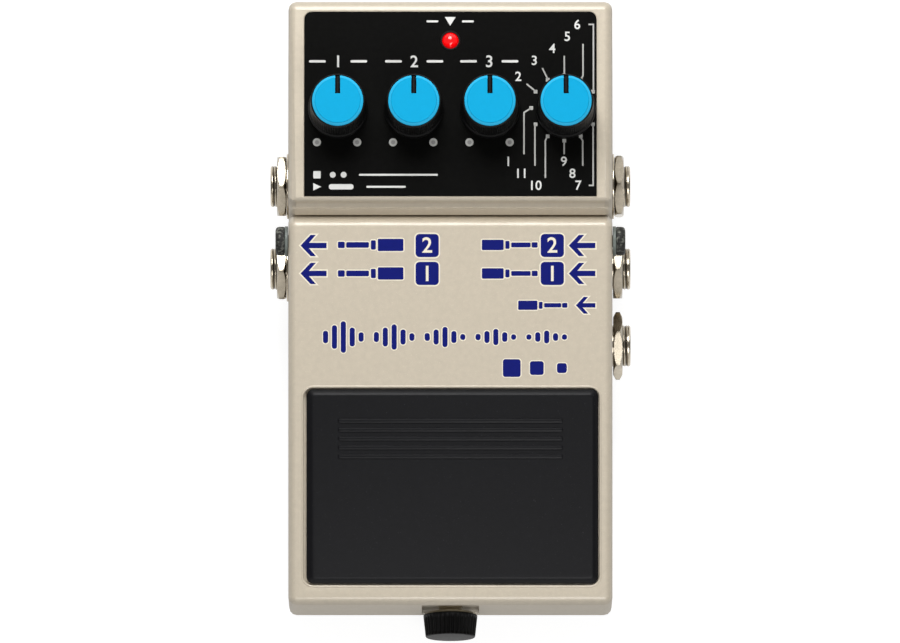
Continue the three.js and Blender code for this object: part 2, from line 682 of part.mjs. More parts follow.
function controlBoard() {
  const width = CASE_WIDTH - 2 * (SIDE_WALL + CONTROL_BOARD_CLEARANCE);
  return block(width, CONTROL_BOARD_LENGTH, BOARD_THICKNESS)
    .translate(0, LED_FLANGE_HEIGHT - KNOB_SETBACK, controlBoardTop - BOARD_THICKNESS);
}

piece(panelFrame, "control_panel", controlPanel(), BLACK_PANEL);
piece(panelFrame, "status_led", statusLed(), RED_LENS);
piece(panelFrame, "control_board", controlBoard(), GREEN_BOARD);

// Dials: a pot or switch under the wall, its turning shaft, and a ribbed knob with a blue cap

const BUSHING_PROUD = 2; // above the panel
const SHAFT_RADIUS = 3;
const SHAFT_DEPTH = 4; // into the can, below the housing top
const SHAFT_FLAT = 1.6; // axis to the flat of the shaft's upper end
const SWITCH_CAN_WIDTH = 13.4;
const SWITCH_CAN_CORNER = 2;
const KNOB_GAP = 0.4; // panel to knob
const KNOB_HEIGHT = 12;
const KNOB_SKIRT_RADIUS = 6.1;
const KNOB_SKIRT_HEIGHT = 2.4;
const KNOB_RADIUS = 5.6;
const KNOB_TOP_RADIUS = 5.4;
const KNOB_RIBS = 30;
const KNOB_RIB_DEPTH = 0.3;
const KNOB_RIM_HEIGHT = 0.6; // plain rim above the ribs
const KNOB_SOCKET_RADIUS = 4.6; // round the bushing
const KNOB_SOCKET_DEPTH = 2.6;
const KNOB_BORE_DEPTH = 9.4;
const CAP_RADIUS = 5.2;
const CAP_THICKNESS = 1.4;
const CAP_PROUD = 0.6;
const CAP_CHAMFER = 0.5;
const POINTER_WIDTH = 1.04;
const POINTER_LENGTH = 3.8;
const POINTER_DEPTH = 0.5;
const knobFoot = panelTop + KNOB_GAP;
const knobRim = KNOB_HEIGHT - CAP_PROUD;

function potBody(can) {
  const bushing = rod(BUSHING_RADIUS, panelTop + BUSHING_PROUD - wallUnderside + SEAT_GAP, SMALL_SIDES)
    .translate(0, 0, wallUnderside - SEAT_GAP);
  const bore = rod(SHAFT_RADIUS + RUN_GAP, SHAFT_DEPTH + BUSHING_PROUD + 2 * OVERRUN, SMALL_SIDES)
    .translate(0, 0, -SHAFT_DEPTH);
  return cut(joined(can.translate(0, 0, wallUnderside - POT_HEIGHT), bushing), bore);
}

// A round section with a flat on its rear side.
function dSection(radius, flat) {
  const half = Math.acos(flat / radius);
  return outline(arc(0, 0, radius, Math.PI / 2 + half, 2.5 * Math.PI - half, COARSE_SIDES - 2));
}

function potShaft() {
  const foot = FIT_GAP - SHAFT_DEPTH;
  const round = rod(SHAFT_RADIUS, panelTop + BUSHING_PROUD - foot, COARSE_SIDES).translate(0, 0, foot);
  const flattened = raised(dSection(SHAFT_RADIUS, SHAFT_FLAT), knobFoot + KNOB_BORE_DEPTH - FIT_GAP);
  return joined(round, flattened);
}

// Stacked ribbed sections, from [height, radius, rib depth] levels, closed by flat ends.
function ribbed(levels, ribs) {
  const around = ribs * 2;
  const positions = [];
  const faces = [];
  levels.forEach(([height, radius, depth]) => {
    for (let i = 0; i < around; i++) {
      const angle = (i * Math.PI) / ribs;
      const reach = radius - (i % 2) * depth;
      positions.push(reach * Math.cos(angle), reach * Math.sin(angle), height);
    }
  });
  for (let level = 0; level < levels.length - 1; level++) {
    for (let i = 0; i < around; i++) {
      const here = level * around + i;
      const next = level * around + ((i + 1) % around);
      faces.push(here, next, next + around, here, next + around, here + around);
    }
  }
  const last = (levels.length - 1) * around;
  positions.push(0, 0, levels[0][0], 0, 0, levels[levels.length - 1][0]);
  const foot = levels.length * around;
  for (let i = 0; i < around; i++) {
    const next = (i + 1) % around;
    faces.push(foot, next, i, foot + 1, last + i, last + next);
  }
  const geometry = new THREE.BufferGeometry();
  geometry.setAttribute("position", new THREE.Float32BufferAttribute(positions, 3));
  geometry.setIndex(faces);
  return geometry;
}

function knobBody() {
  const outside = ribbed(
    [
      [0, KNOB_SKIRT_RADIUS, 0],
      [KNOB_SKIRT_HEIGHT, KNOB_RADIUS, KNOB_RIB_DEPTH],
      [knobRim - KNOB_RIM_HEIGHT, KNOB_TOP_RADIUS + KNOB_RIB_DEPTH / 2, KNOB_RIB_DEPTH],
      [knobRim, KNOB_TOP_RADIUS, 0],
    ],
    KNOB_RIBS,
  );
  const socket = rod(KNOB_SOCKET_RADIUS, KNOB_SOCKET_DEPTH + OVERRUN, SMALL_SIDES).translate(0, 0, -OVERRUN);
  const bore = raised(dSection(SHAFT_RADIUS + FIT_GAP, SHAFT_FLAT + FIT_GAP), KNOB_BORE_DEPTH);
  const seat = rod(CAP_RADIUS + SEAT_GAP, CAP_THICKNESS).translate(0, 0, KNOB_HEIGHT - CAP_THICKNESS);
  return cut(solid(outside), socket, bore, seat);
}

function knobCap() {
  const foot = KNOB_HEIGHT - CAP_THICKNESS + SEAT_GAP;
  const disc = turned([
    [0, foot],
    [CAP_RADIUS, foot],
    [CAP_RADIUS, KNOB_HEIGHT - CAP_CHAMFER],
    [CAP_RADIUS - CAP_CHAMFER, KNOB_HEIGHT],
    [0, KNOB_HEIGHT],
  ]);
  const pointer = block(POINTER_WIDTH, POINTER_LENGTH + OVERRUN, POINTER_DEPTH + OVERRUN)
    .translate(0, CAP_RADIUS - POINTER_LENGTH / 2 + OVERRUN / 2, KNOB_HEIGHT - POINTER_DEPTH);
  return cut(solid(disc), pointer);
}

KNOB_NAMES.forEach((name, i) => {
  const dial = new THREE.Group();
  dial.position.set(knobX(i), -KNOB_SETBACK, 0);
  const turning = new THREE.Group();
  turning.position.z = knobFoot;
  dial.add(turning);
  panelFrame.add(dial);
  const isSwitch = name === "mode";
  const can = isSwitch
    ? raised(roundedRectangle(SWITCH_CAN_WIDTH, SWITCH_CAN_WIDTH, SWITCH_CAN_CORNER), POT_HEIGHT)
    : rod(POT_RADIUS, POT_HEIGHT, SMALL_SIDES);
  piece(dial, name + (isSwitch ? "_switch" : "_pot"), potBody(can), POT_CAN);
  piece(dial, name + "_shaft", potShaft(), ZINC_STEEL);
  piece(turning, name + "_knob", knobBody(), BLACK_PLASTIC);
  piece(turning, name + "_knob_cap", knobCap(), BLUE_PLASTIC);
});

// Jacks, their nuts and washers

const JACK_SHOULDER_RADIUS = 4.7;
const JACK_SHOULDER_LENGTH = 2.4;
const JACK_BODY_DEPTH = 15.5;
const JACK_BODY_HEIGHT = 12;
const JACK_BODY_CORNER = 1.5;
const JACK_INNER_END = 4; // x where a jack's body ends
const JACK_BORE_RADIUS = 3.2;
const JACK_BORE_DEPTH = 31.6;
const JACK_NOSE_CHAMFER = 0.4;
const NUT_ACROSS_FLATS = 12;
const NUT_THICKNESS = 1.87;
const NUT_CHAMFER = 0.4;
const NUT_TO_NOSE = 1.36;
const WASHER_RADIUS = 6.7;
const WASHER_THICKNESS = 0.5;
const nutFoot = WASHER_THICKNESS + 2 * SEAT_GAP;
const jackNose = nutFoot + NUT_THICKNESS + NUT_TO_NOSE;

function atJack(geometry, { side, setback }) {
  return outOfSide(geometry, side, rearY - setback, jackZ);
}

function jack(place) {
  const shoulder = -SIDE_WALL - SEAT_GAP;
  const bodyLength = CASE_WIDTH / 2 + shoulder - JACK_SHOULDER_LENGTH - JACK_INNER_END;
  const body = raised(roundedRectangle(JACK_BODY_HEIGHT, JACK_BODY_DEPTH, JACK_BODY_CORNER), bodyLength)
    .translate(0, 0, shoulder - JACK_SHOULDER_LENGTH - bodyLength);
  const barrel = turned(
    [
      [0, shoulder - JACK_SHOULDER_LENGTH - OVERRUN],
      [JACK_SHOULDER_RADIUS, shoulder - JACK_SHOULDER_LENGTH - OVERRUN],
      [JACK_SHOULDER_RADIUS, shoulder],
      [JACK_BARREL_RADIUS, shoulder],
      [JACK_BARREL_RADIUS, jackNose - JACK_NOSE_CHAMFER],
      [JACK_BARREL_RADIUS - JACK_NOSE_CHAMFER, jackNose],
      [0, jackNose],
    ],
    SMALL_SIDES,
  );
  const bore = rod(JACK_BORE_RADIUS, JACK_BORE_DEPTH + OVERRUN, SMALL_SIDES)
    .translate(0, 0, jackNose - JACK_BORE_DEPTH);
  return cut(joined(atJack(body, place), atJack(barrel, place)), atJack(bore, place));
}

function jackNut(place) {
  const hexagon = turned([[0, 0], [1, 0], [1, NUT_THICKNESS], [0, NUT_THICKNESS]], 6);
  const corner = NUT_ACROSS_FLATS / 2 / Math.cos(Math.PI / 6);
  hexagon.scale(corner, corner, 1).rotateZ(place.cornerUp ? Math.PI / 2 : Math.PI / 3);
  const chamfered = turned(
    [
      [0, 0],
      [corner + OVERRUN, 0],
      [corner, NUT_THICKNESS - NUT_CHAMFER],
      [corner - 2 * NUT_CHAMFER, NUT_THICKNESS],
      [0, NUT_THICKNESS],
    ],
    SMALL_SIDES,
  );
  const hole = rod(JACK_BARREL_RADIUS + FIT_GAP, NUT_THICKNESS + 2 * OVERRUN, SMALL_SIDES)
    .translate(0, 0, -OVERRUN);
  const seated = (geometry) => atJack(geometry.translate(0, 0, nutFoot - (place.washer ? 0 : BED_GAP)), place);
  return cut(solid(seated(hexagon)).intersect(solid(seated(chamfered))), seated(hole));
}

function jackWasher(place) {
  const washer = ring(WASHER_RADIUS, JACK_BARREL_RADIUS + FIT_GAP, WASHER_THICKNESS, SMALL_SIDES);
  return atJack(washer.translate(0, 0, SEAT_GAP), place);
}

for (const place of JACKS) {
  piece(pedal, place.name + "_jack", jack(place), NICKEL);
  piece(pedal, place.name + "_jack_nut", jackNut(place), NICKEL);
  if (place.washer) piece(pedal, place.name + "_jack_washer", jackWasher(place), NICKEL);
}

// Power inlet in the rear wall

const DC_COLLAR_LENGTH = 1.9;
const DC_BODY_WIDTH = 13;
const DC_BODY_HEIGHT = 12;
const DC_BODY_LENGTH = 12;
const DC_BORE_RADIUS = 2.85;
const DC_BORE_DEPTH = 10;
const DC_PIN_RADIUS = 1;
const DC_PIN_SETBACK = 1;

function dcJack() {
  const face = -SIDE_WALL - BED_GAP;
  const body = block(DC_BODY_WIDTH, DC_BODY_HEIGHT, DC_BODY_LENGTH).translate(0, 0, face - DC_BODY_LENGTH);
  const collar = rod(DC_COLLAR_RADIUS, DC_COLLAR_LENGTH - face + SEAT_GAP).translate(0, 0, face - SEAT_GAP);
  const bore = rod(DC_BORE_RADIUS, DC_BORE_DEPTH + OVERRUN, SMALL_SIDES)
    .translate(0, 0, DC_COLLAR_LENGTH - DC_BORE_DEPTH);
  const pin = rod(DC_PIN_RADIUS, DC_BORE_DEPTH - DC_PIN_SETBACK + SEAT_GAP, SMALL_SIDES)
    .translate(0, 0, DC_COLLAR_LENGTH - DC_BORE_DEPTH - SEAT_GAP);
  const housing = cut(joined(outOfRear(body), outOfRear(collar)), outOfRear(bore));
  return housing.add(solid(outOfRear(pin)));
}

piece(pedal, "dc_jack", dcJack(), BLACK_PLASTIC);

// Main board, foot switch and spring

const MAIN_BOARD_CLEARANCE = 0.85; // to the side walls
const CHIP_HEIGHT = 1.6;
const LARGE_CHIP = 14;
const SMALL_CHIP_WIDTH = 10;
const SMALL_CHIP_LENGTH = 7;
const CAPACITOR_RADIUS = 3.1;
const CAPACITOR_HEIGHT = 6;
const mainBoardTop = jackZ - JACK_BODY_HEIGHT / 2 - BED_GAP;

// Places on the board as shares of its width from the middle and of its length from the rear.
const LARGE_CHIP_AT = { across: -0.17, along: 0.34 };
const SMALL_CHIPS_AT = [
  { across: 0.24, along: 0.29 },
  { across: 0.24, along: 0.57 },
  { across: -0.24, along: 0.7 },
];
const CAPACITORS_AT = [
  { across: 0.37, along: 0.8 },
  { across: 0.2, along: 0.8 },
  { across: -0.37, along: 0.9 },
];

function mainBoard() {
  const front = bayRearY + BAY_WALL + BED_GAP;
  const rear = rearY - SIDE_WALL - BED_GAP;
  const width = CASE_WIDTH - 2 * (SIDE_WALL + MAIN_BOARD_CLEARANCE);
  const underside = mainBoardTop - BOARD_THICKNESS;
  const below = (geometry, height, { across: x, along: y }) =>
    geometry.translate(x * width, rear - y * (rear - front), underside - height);
  const sheet = block(width, rear - front, BOARD_THICKNESS).translate(0, (front + rear) / 2, underside);
  const largeChip = below(block(LARGE_CHIP, LARGE_CHIP, CHIP_HEIGHT + SEAT_GAP), CHIP_HEIGHT, LARGE_CHIP_AT);
  const smallChips = SMALL_CHIPS_AT.map((place) =>
    below(block(SMALL_CHIP_WIDTH, SMALL_CHIP_LENGTH, CHIP_HEIGHT + SEAT_GAP), CHIP_HEIGHT, place),
  );
  const capacitors = CAPACITORS_AT.map((place) =>
    below(rod(CAPACITOR_RADIUS, CAPACITOR_HEIGHT + SEAT_GAP, COARSE_SIDES), CAPACITOR_HEIGHT, place),
  );
  return joined(sheet, largeChip, ...smallChips, ...capacitors);
}

piece(pedal, "main_board", mainBoard(), GREEN_BOARD);

const SWITCH_BOARD_WIDTH = 12;
const SWITCH_BOARD_LENGTH = 9;
const SWITCH_BOARD_THICKNESS = 1;
const SWITCH_BODY_WIDTH = 6.2;
const SWITCH_BODY_HEIGHT = 2.2;
const SWITCH_PLUNGER_RADIUS = 1.7;
const SWITCH_PLUNGER_HEIGHT = 0.8;
const switchBoardZ = jackZ + JACK_BODY_HEIGHT / 2 + BED_GAP;
const plungerTop = switchBoardZ + SWITCH_BOARD_THICKNESS + SWITCH_BODY_HEIGHT + SWITCH_PLUNGER_HEIGHT;

// The height of the treadle plate's underside over a place.
function plateHeight(y) {
  return hingeZ + plateUnderside / Math.cos(TREADLE_SLOPE) - (hingeY - y) * Math.tan(TREADLE_SLOPE);
}

function footSwitch() {
  const bodyZ = switchBoardZ + SWITCH_BOARD_THICKNESS;
  const board = block(SWITCH_BOARD_WIDTH, SWITCH_BOARD_LENGTH, SWITCH_BOARD_THICKNESS)
    .translate(0, 0, switchBoardZ);
  const body = block(SWITCH_BODY_WIDTH, SWITCH_BODY_WIDTH, SWITCH_BODY_HEIGHT).translate(0, 0, bodyZ);
  const plunger = rod(SWITCH_PLUNGER_RADIUS, SWITCH_PLUNGER_HEIGHT + SEAT_GAP, SMALL_SIDES)
    .translate(0, 0, bodyZ + SWITCH_BODY_HEIGHT - SEAT_GAP);
  return joined(...[board, body, plunger].map((part) => part.translate(SWITCH_X, switchY, 0)));
}

function switchCap() {
  const foot = plungerTop + SEAT_GAP;
  const top = plateHeight(switchY - SWITCH_CAP_RADIUS) - BED_GAP;
  const cap = turned(
    [
      [0, foot],
      [SWITCH_CAP_RADIUS, foot],
      [SWITCH_CAP_RADIUS, top - SWITCH_PLUNGER_HEIGHT],
      [SWITCH_PLUNGER_RADIUS, top],
      [0, top],
    ],
    SMALL_SIDES,
  );
  return cap.translate(SWITCH_X, switchY, 0);
}

piece(pedal, "foot_switch", footSwitch(), BLACK_PLASTIC);
piece(pedal, "switch_cap", switchCap(), GREY_PLASTIC);

const SPRING_TURNS = 6;
const SPRING_STEPS = 8;
const SPRING_SIDES = 5;
const SPRING_SEAT_RADIUS = 6.2;
const SPRING_SEAT_DROP = 0.3; // the seat's flat foot below the plate's lowest point over it
const springFoot = wellFloorZ + FIT_GAP;
const springSeatZ = plateHeight(springY - SPRING_SEAT_RADIUS) - SPRING_SEAT_DROP;

class Helix extends THREE.Curve {
  constructor(radius, rise, turns) {
    super();
    Object.assign(this, { radius, rise, turns });
  }
  getPoint(t, target = new THREE.Vector3()) {
    const angle = 2 * Math.PI * this.turns * t;
    return target.set(this.radius * Math.cos(angle), this.radius * Math.sin(angle), this.rise * t);
  }
}

function spring() {
  const radius = SPRING_RADIUS - SPRING_WIRE_RADIUS;
  const rise = springSeatZ - FIT_GAP - springFoot - 2 * SPRING_WIRE_RADIUS;
  const path = new Helix(radius, rise, SPRING_TURNS);
  reportGap(path, "pedal_spring");
  return swept(path, SPRING_WIRE_RADIUS, SPRING_SIDES, SPRING_TURNS * SPRING_STEPS)
    .translate(SPRING_X, springY, springFoot + SPRING_WIRE_RADIUS);
}

// Prints the least gap between neighbouring turns of the coil.
function reportGap(path, name) {
  const count = SPRING_TURNS * SPRING_STEPS * 3; // three samples on each step
  const points = Array.from({ length: count + 1 }, (_, i) => path.getPoint(i / count));
  let least = Infinity;
  points.forEach((a, i) => {
    for (let j = i + SPRING_STEPS * 2; j < points.length; j++) least = Math.min(least, a.distanceTo(points[j]));
  });
  console.log(name + ": least gap between turns " + (least - 2 * SPRING_WIRE_RADIUS).toFixed(2) + " mm");
}

piece(pedal, "pedal_spring", spring(), SPRING_STEEL);

// Guide bush in the front wall, whose slot holds the thumbscrew's tip down but lets it move with a press

const BUSH_FLANGE = 1.7; // flange round the bush, inside the wall
const BUSH_FLANGE_THICKNESS = 1.6;
const PRESS_TRAVEL = 2.5; // of the thumbscrew's tip

function guideBush() {
  const plug = block(BUSH_WIDTH, SIDE_WALL + SEAT_GAP, bushHeight)
    .translate(0, frontY + (SIDE_WALL + SEAT_GAP) / 2, bushMiddleZ - bushHeight / 2);
  const flange = block(BUSH_WIDTH + 2 * BUSH_FLANGE, BUSH_FLANGE_THICKNESS, bushHeight + 2 * BUSH_FLANGE)
    .translate(0, frontY + SIDE_WALL + SEAT_GAP + BUSH_FLANGE_THICKNESS / 2, bushMiddleZ - bushHeight / 2)
    .translate(0, 0, -BUSH_FLANGE);
  const slotFoot = screwZ - SCREW_TIP_RADIUS - PRESS_TRAVEL - GUIDE_SIDE_GAP;
  const slotTop = screwZ + SCREW_TIP_RADIUS + GUIDE_SIDE_GAP;
  const slot = block(2 * (SCREW_TIP_RADIUS + GUIDE_SIDE_GAP), 4 * SIDE_WALL, slotTop - slotFoot)
    .translate(0, frontY, slotFoot);
  return cut(joined(plug, flange), slot);
}

piece(pedal, "guide_bush", guideBush(), WHITE_PLASTIC);

// Battery, its snap connector and leads

const BATTERY_LENGTH = 46.4;
const BATTERY_WIDTH = 26.5;
const BATTERY_HEIGHT = 17.5;
const BATTERY_CORNER = 3;
const TERMINAL_RADIUS = 3;
const TERMINAL_HEIGHT = 2.3;
const TERMINAL_SPACING = 12.7;
const SNAP_LENGTH = 24;
const SNAP_HEIGHT = 13;
const SNAP_THICKNESS = 5;
const SNAP_CORNER = 2;
const LEAD_RADIUS = 0.65;
const LEAD_SPACING = 1.8;
const LEAD_EXIT = 6; // battery's middle to where the leads leave the snap
const LEAD_BEND = 2.2;
const LEAD_ARCH = 1.3; // how high the leads stand over the notch's foot
const LEAD_STANDOFF = 2.5; // from the bay's wall
const LEAD_SIDES = 8;
const LEAD_STEPS = 20;
const wallTopZ = underTreadle(bayRearY, DECK_OFFSET) - LEAD_NOTCH_DEPTH;
const batteryX = -BAY_WIDTH / 2 + BED_GAP;
const batteryEnd = batteryX + BATTERY_LENGTH;
const batteryY = bayRearY - BED_GAP - BATTERY_WIDTH / 2;
const batteryZ = chassisFootZ + BAY_FLOOR + BED_GAP + BATTERY_HEIGHT / 2;

// Terminals or the sockets round them, on the battery's right end.
function terminals(radius, height) {
  return [-1, 1].map((side) =>
    rod(radius, height, COARSE_SIDES)
      .rotateY(Math.PI / 2)
      .translate(batteryEnd - SEAT_GAP, batteryY + (side * TERMINAL_SPACING) / 2, batteryZ),
  );
}

function battery() {
  const jacket = across(roundedRectangle(BATTERY_WIDTH, BATTERY_HEIGHT, BATTERY_CORNER), BATTERY_LENGTH)
    .translate(batteryX + BATTERY_LENGTH / 2, batteryY, batteryZ);
  return joined(jacket, ...terminals(TERMINAL_RADIUS, TERMINAL_HEIGHT + SEAT_GAP));
}

function batterySnap() {
  const shell = across(roundedRectangle(SNAP_LENGTH, SNAP_HEIGHT, SNAP_CORNER), SNAP_THICKNESS)
    .translate(batteryEnd + BED_GAP + SNAP_THICKNESS / 2, batteryY, batteryZ);
  return cut(solid(shell), ...terminals(TERMINAL_RADIUS + BED_GAP, TERMINAL_HEIGHT + BED_GAP));
}

// A lead from the snap's top over the bay's rear wall and down to the main board.
function batteryLead(side) {
  const x = LEAD_NOTCH_X + (side * LEAD_SPACING) / 2;
  const snapX = batteryEnd + BED_GAP + SNAP_THICKNESS / 2;
  const snapY = batteryY + side * LEAD_SPACING + LEAD_EXIT;
  const snapTopZ = batteryZ + SNAP_HEIGHT / 2 + BED_GAP;
  const overWallZ = wallTopZ + LEAD_ARCH;
  const route = [
    [snapX, snapY, snapTopZ],
    [snapX, snapY, snapTopZ + LEAD_BEND],
    [x + LEAD_BEND, bayRearY - LEAD_BEND, overWallZ - LEAD_ARCH],
    [x, bayRearY + BAY_WALL / 2, overWallZ],
    [x, bayRearY + 2 * BAY_WALL, overWallZ - 2 * LEAD_ARCH],
    [x, bayRearY + BAY_WALL + LEAD_STANDOFF, mainBoardTop + 2 * LEAD_BEND],
    [x, bayRearY + BAY_WALL + LEAD_STANDOFF, mainBoardTop + BED_GAP],
  ].map((point) => new THREE.Vector3(...point));
  return swept(new THREE.CatmullRomCurve3(route), LEAD_RADIUS, LEAD_SIDES, LEAD_STEPS);
}

piece(pedal, "battery", battery(), BATTERY_JACKET);
piece(pedal, "battery_snap", batterySnap(), BLACK_PLASTIC);
piece(pedal, "battery_lead_red", batteryLead(1), RED_WIRE);
piece(pedal, "battery_lead_black", batteryLead(-1), BLACK_WIRE);

// Hinge pins: a shank through the treadle's skirt into the chassis, under a flanged dome

const HINGE_FLANGE_RADIUS = 3.05;
const HINGE_FLANGE_THICKNESS = 0.65;
const HINGE_DOME_RADIUS = 2.95;
const HINGE_DOME_HEIGHT = 1.9;
const HINGE_SLEEVE_RADIUS = 2.1;
const HINGE_SLEEVE_FLANGE_RADIUS = 2.6;
const HINGE_SLEEVE_FLANGE_THICKNESS = 0.4;

function hingePin(side) {
  const domeFoot = FIT_GAP + HINGE_FLANGE_THICKNESS;
  const dome = arc(0, 0, 1, 0, Math.PI / 2, EDGE_STEPS + 1)
    .map(([u, v]) => [HINGE_DOME_RADIUS * u, domeFoot + HINGE_DOME_HEIGHT * v]);
  const pin = turned(
    [
      [0, -hingePinReach],
      [HINGE_PIN_RADIUS, -hingePinReach],
      [HINGE_PIN_RADIUS, FIT_GAP],
      [HINGE_FLANGE_RADIUS, FIT_GAP],
      [HINGE_FLANGE_RADIUS, domeFoot],
      ...dome,
    ],
    SMALL_SIDES,
  );
  return outOfSide(pin, side, hingeY, hingeZ);
}

function hingeBush(side) {
  const bore = HINGE_PIN_RADIUS + RUN_GAP;
  const flangeTop = -TREADLE_SKIRT - SEAT_GAP;
  const flangeFoot = flangeTop - HINGE_SLEEVE_FLANGE_THICKNESS;
  const sleeve = turned(
    [
      [bore, flangeFoot],
      [HINGE_SLEEVE_FLANGE_RADIUS, flangeFoot],
      [HINGE_SLEEVE_FLANGE_RADIUS, flangeTop],
      [HINGE_SLEEVE_RADIUS, flangeTop],
      [HINGE_SLEEVE_RADIUS, 0],
      [bore, 0],
      [bore, flangeFoot],
    ],
    COARSE_SIDES,
  );
  return outOfSide(sleeve, side, hingeY, hingeZ);
}

for (const [end, side] of [["left", -1], ["right", 1]]) {
  piece(pedal, "hinge_pin_" + end, hingePin(side), DARK_METAL);
  piece(pedal, "hinge_bush_" + end, hingeBush(side), WHITE_PLASTIC);
}

// Treadle

const TREADLE_EDGE_RADIUS = 1.8; // front and rear edges of the top face
const SKIRT_CORNER_RADIUS = 4; // between the side skirts and the lip
const SKIRT_WEB = 0.1; // what the lip is thicker by where the skirts join it
const TREAD_SIDE_MARGIN = 3.1; // rubber to the treadle's sides
const TREAD_ROW_OFFSET = 0.2; // the rubber lies this far right of the treadle's middle
const TREAD_LENGTH = 39.5;
const TREAD_SETBACK = 49.7; // hinge axis to the rubber's middle
const TREAD_MARGIN = 0.3;
const TREAD_CORNER_RADIUS = 1.5;
const TREAD_RECESS = 1.2;
const TREAD_PROUD = 0.8;
const TREAD_BEVEL = 0.9;
const GRIP_COUNT = 5;
const GRIP_LENGTH = 45.6;
const GRIP_WIDTH = 1;
const GRIP_PITCH = 1.8;
const GRIP_HEIGHT = 0.35;
const GRIP_SETBACK = 40; // hinge axis to the middle grip rib
const SCREW_RECESS_WIDTH = 11.6;
const SCREW_RECESS_DEPTH = 1.35;
const SCREW_RECESS_TOP = 1.8; // hinge axis up to the recess's top edge
const SCREW_RECESS_FLOOR = 2.1; // lip's foot up to the recess's floor
const treadWidth = CASE_WIDTH - 2 * TREAD_SIDE_MARGIN;
const lipFootHeight = TREADLE_RISE - LIP_DEPTH;

// How far forward the lip's outer face is at a height in the treadle's frame.
function lipReach(height) {
  return treadleReach + (TREADLE_RISE - height) * Math.tan(LIP_DRAFT);
}

function treadleOutline() {
  const reach = ROLL_RADIUS - TREADLE_EDGE_RADIUS;
  const edgeHeight = TREADLE_RISE - TREADLE_EDGE_RADIUS;
  const edgeY = Math.sqrt(reach ** 2 - edgeHeight ** 2);
  const meets = Math.atan2(edgeHeight, edgeY);
  const foot = lipFootHeight - OVERRUN;
  return outline([
    ...arc(0, 0, ROLL_RADIUS, -Math.PI / 2, meets),
    ...arc(edgeY, edgeHeight, TREADLE_EDGE_RADIUS, meets, Math.PI / 2, EDGE_STEPS).slice(1),
    [-treadleReach, TREADLE_RISE, TREADLE_EDGE_RADIUS],
    [-lipReach(foot), foot],
    [0, foot],
  ]);
}

// The room between the skirts, open below and behind the roll's end.
function treadleHollow() {
  const inner = ROLL_RADIUS - ROLL_WALL;
  const foot = lipFootHeight - 2 * OVERRUN;
  const behind = ROLL_RADIUS + OVERRUN;
  return outline([
    ...arc(0, 0, inner, -ROLL_END, Math.asin(plateUnderside / inner)),
    [LIP_THICKNESS - lipReach(plateUnderside), plateUnderside],
    [LIP_THICKNESS - lipReach(foot), foot],
    [behind, foot],
    [behind, -behind * Math.tan(ROLL_END)],
  ]);
}

// What is cut away below the side skirts, behind the lip.
function underSkirts() {
  const foot = lipFootHeight - 2 * OVERRUN;
  const behindLip = LIP_THICKNESS + SKIRT_WEB;
  return outline([
    [ROLL_RADIUS + OVERRUN, -ROLL_RADIUS],
    [behindLip - lipReach(-ROLL_RADIUS), -ROLL_RADIUS, SKIRT_CORNER_RADIUS],
    [behindLip - lipReach(foot), foot],
    [ROLL_RADIUS + OVERRUN, foot],
  ]);
}

function underLip() {
  const foot = lipFootHeight - 2 * OVERRUN;
  return outline([
    [OVERRUN, foot],
    [OVERRUN, lipFootHeight],
    [-lipReach(foot) - OVERRUN, lipFootHeight],
    [-lipReach(foot) - OVERRUN, foot],
  ]);
}

function thumbscrewRecess() {
  const floor = lipFootHeight + SCREW_RECESS_FLOOR;
  return outline([
    [SCREW_RECESS_DEPTH - lipReach(SCREW_RECESS_TOP), SCREW_RECESS_TOP],
    [-lipReach(floor) - OVERRUN, SCREW_RECESS_TOP],
    [-lipReach(floor) - OVERRUN, floor],
    [SCREW_RECESS_DEPTH - lipReach(floor), floor],
  ]);
}

// The spring's seat under the plate: round, with a level foot.
function springSeat() {
  const height = plateHeight(springY + SPRING_SEAT_RADIUS) + SEAT_GAP - springSeatZ;
  return rod(SPRING_SEAT_RADIUS, height, SMALL_SIDES).translate(SPRING_X, springY, springSeatZ);
}

function treadle() {
  const toFrame = treadleFrame.matrixWorld.clone().invert();
  const fullWidth = CASE_WIDTH + 2 * OVERRUN;
  const recess = raised(
    roundedRectangle(treadWidth + 2 * TREAD_MARGIN, TREAD_LENGTH + 2 * TREAD_MARGIN, TREAD_CORNER_RADIUS),
    TREAD_RECESS + OVERRUN,
  ).translate(TREAD_ROW_OFFSET, -TREAD_SETBACK, TREADLE_RISE - TREAD_RECESS);
  const shell = cut(
    solid(across(treadleOutline(), CASE_WIDTH, EDGE_RADIUS)),
    across(treadleHollow(), CASE_WIDTH - 2 * TREADLE_SKIRT),
    across(underSkirts(), fullWidth),
    across(underLip(), fullWidth),
    across(thumbscrewRecess(), SCREW_RECESS_WIDTH),
    recess,
  );
  const pins = [-1, 1].map((side) => {
    const hole = rod(HINGE_SLEEVE_RADIUS + FIT_GAP, TREADLE_SKIRT + 2 * OVERRUN, SMALL_SIDES)
      .translate(0, 0, -TREADLE_SKIRT - OVERRUN);
    return outOfSide(hole, side, 0, 0);
  });
  const earPockets = [-1, 1].map((side) =>
    hingeRoller(HINGE_EAR_RADIUS + HINGE_EAR_CLEARANCE, SKIRT_CLEARANCE, side),
  );
  const hole = rod(SCREW_RADIUS + RUN_GAP, 2 * LIP_THICKNESS + OVERRUN, SMALL_SIDES);
  const thread = alongRear(hole, lipFaceY - OVERRUN).applyMatrix4(toFrame);
  const seat = springSeat().applyMatrix4(toFrame);
  return cut(shell.add(solid(seat)), ...pins, ...earPockets, thread);
}

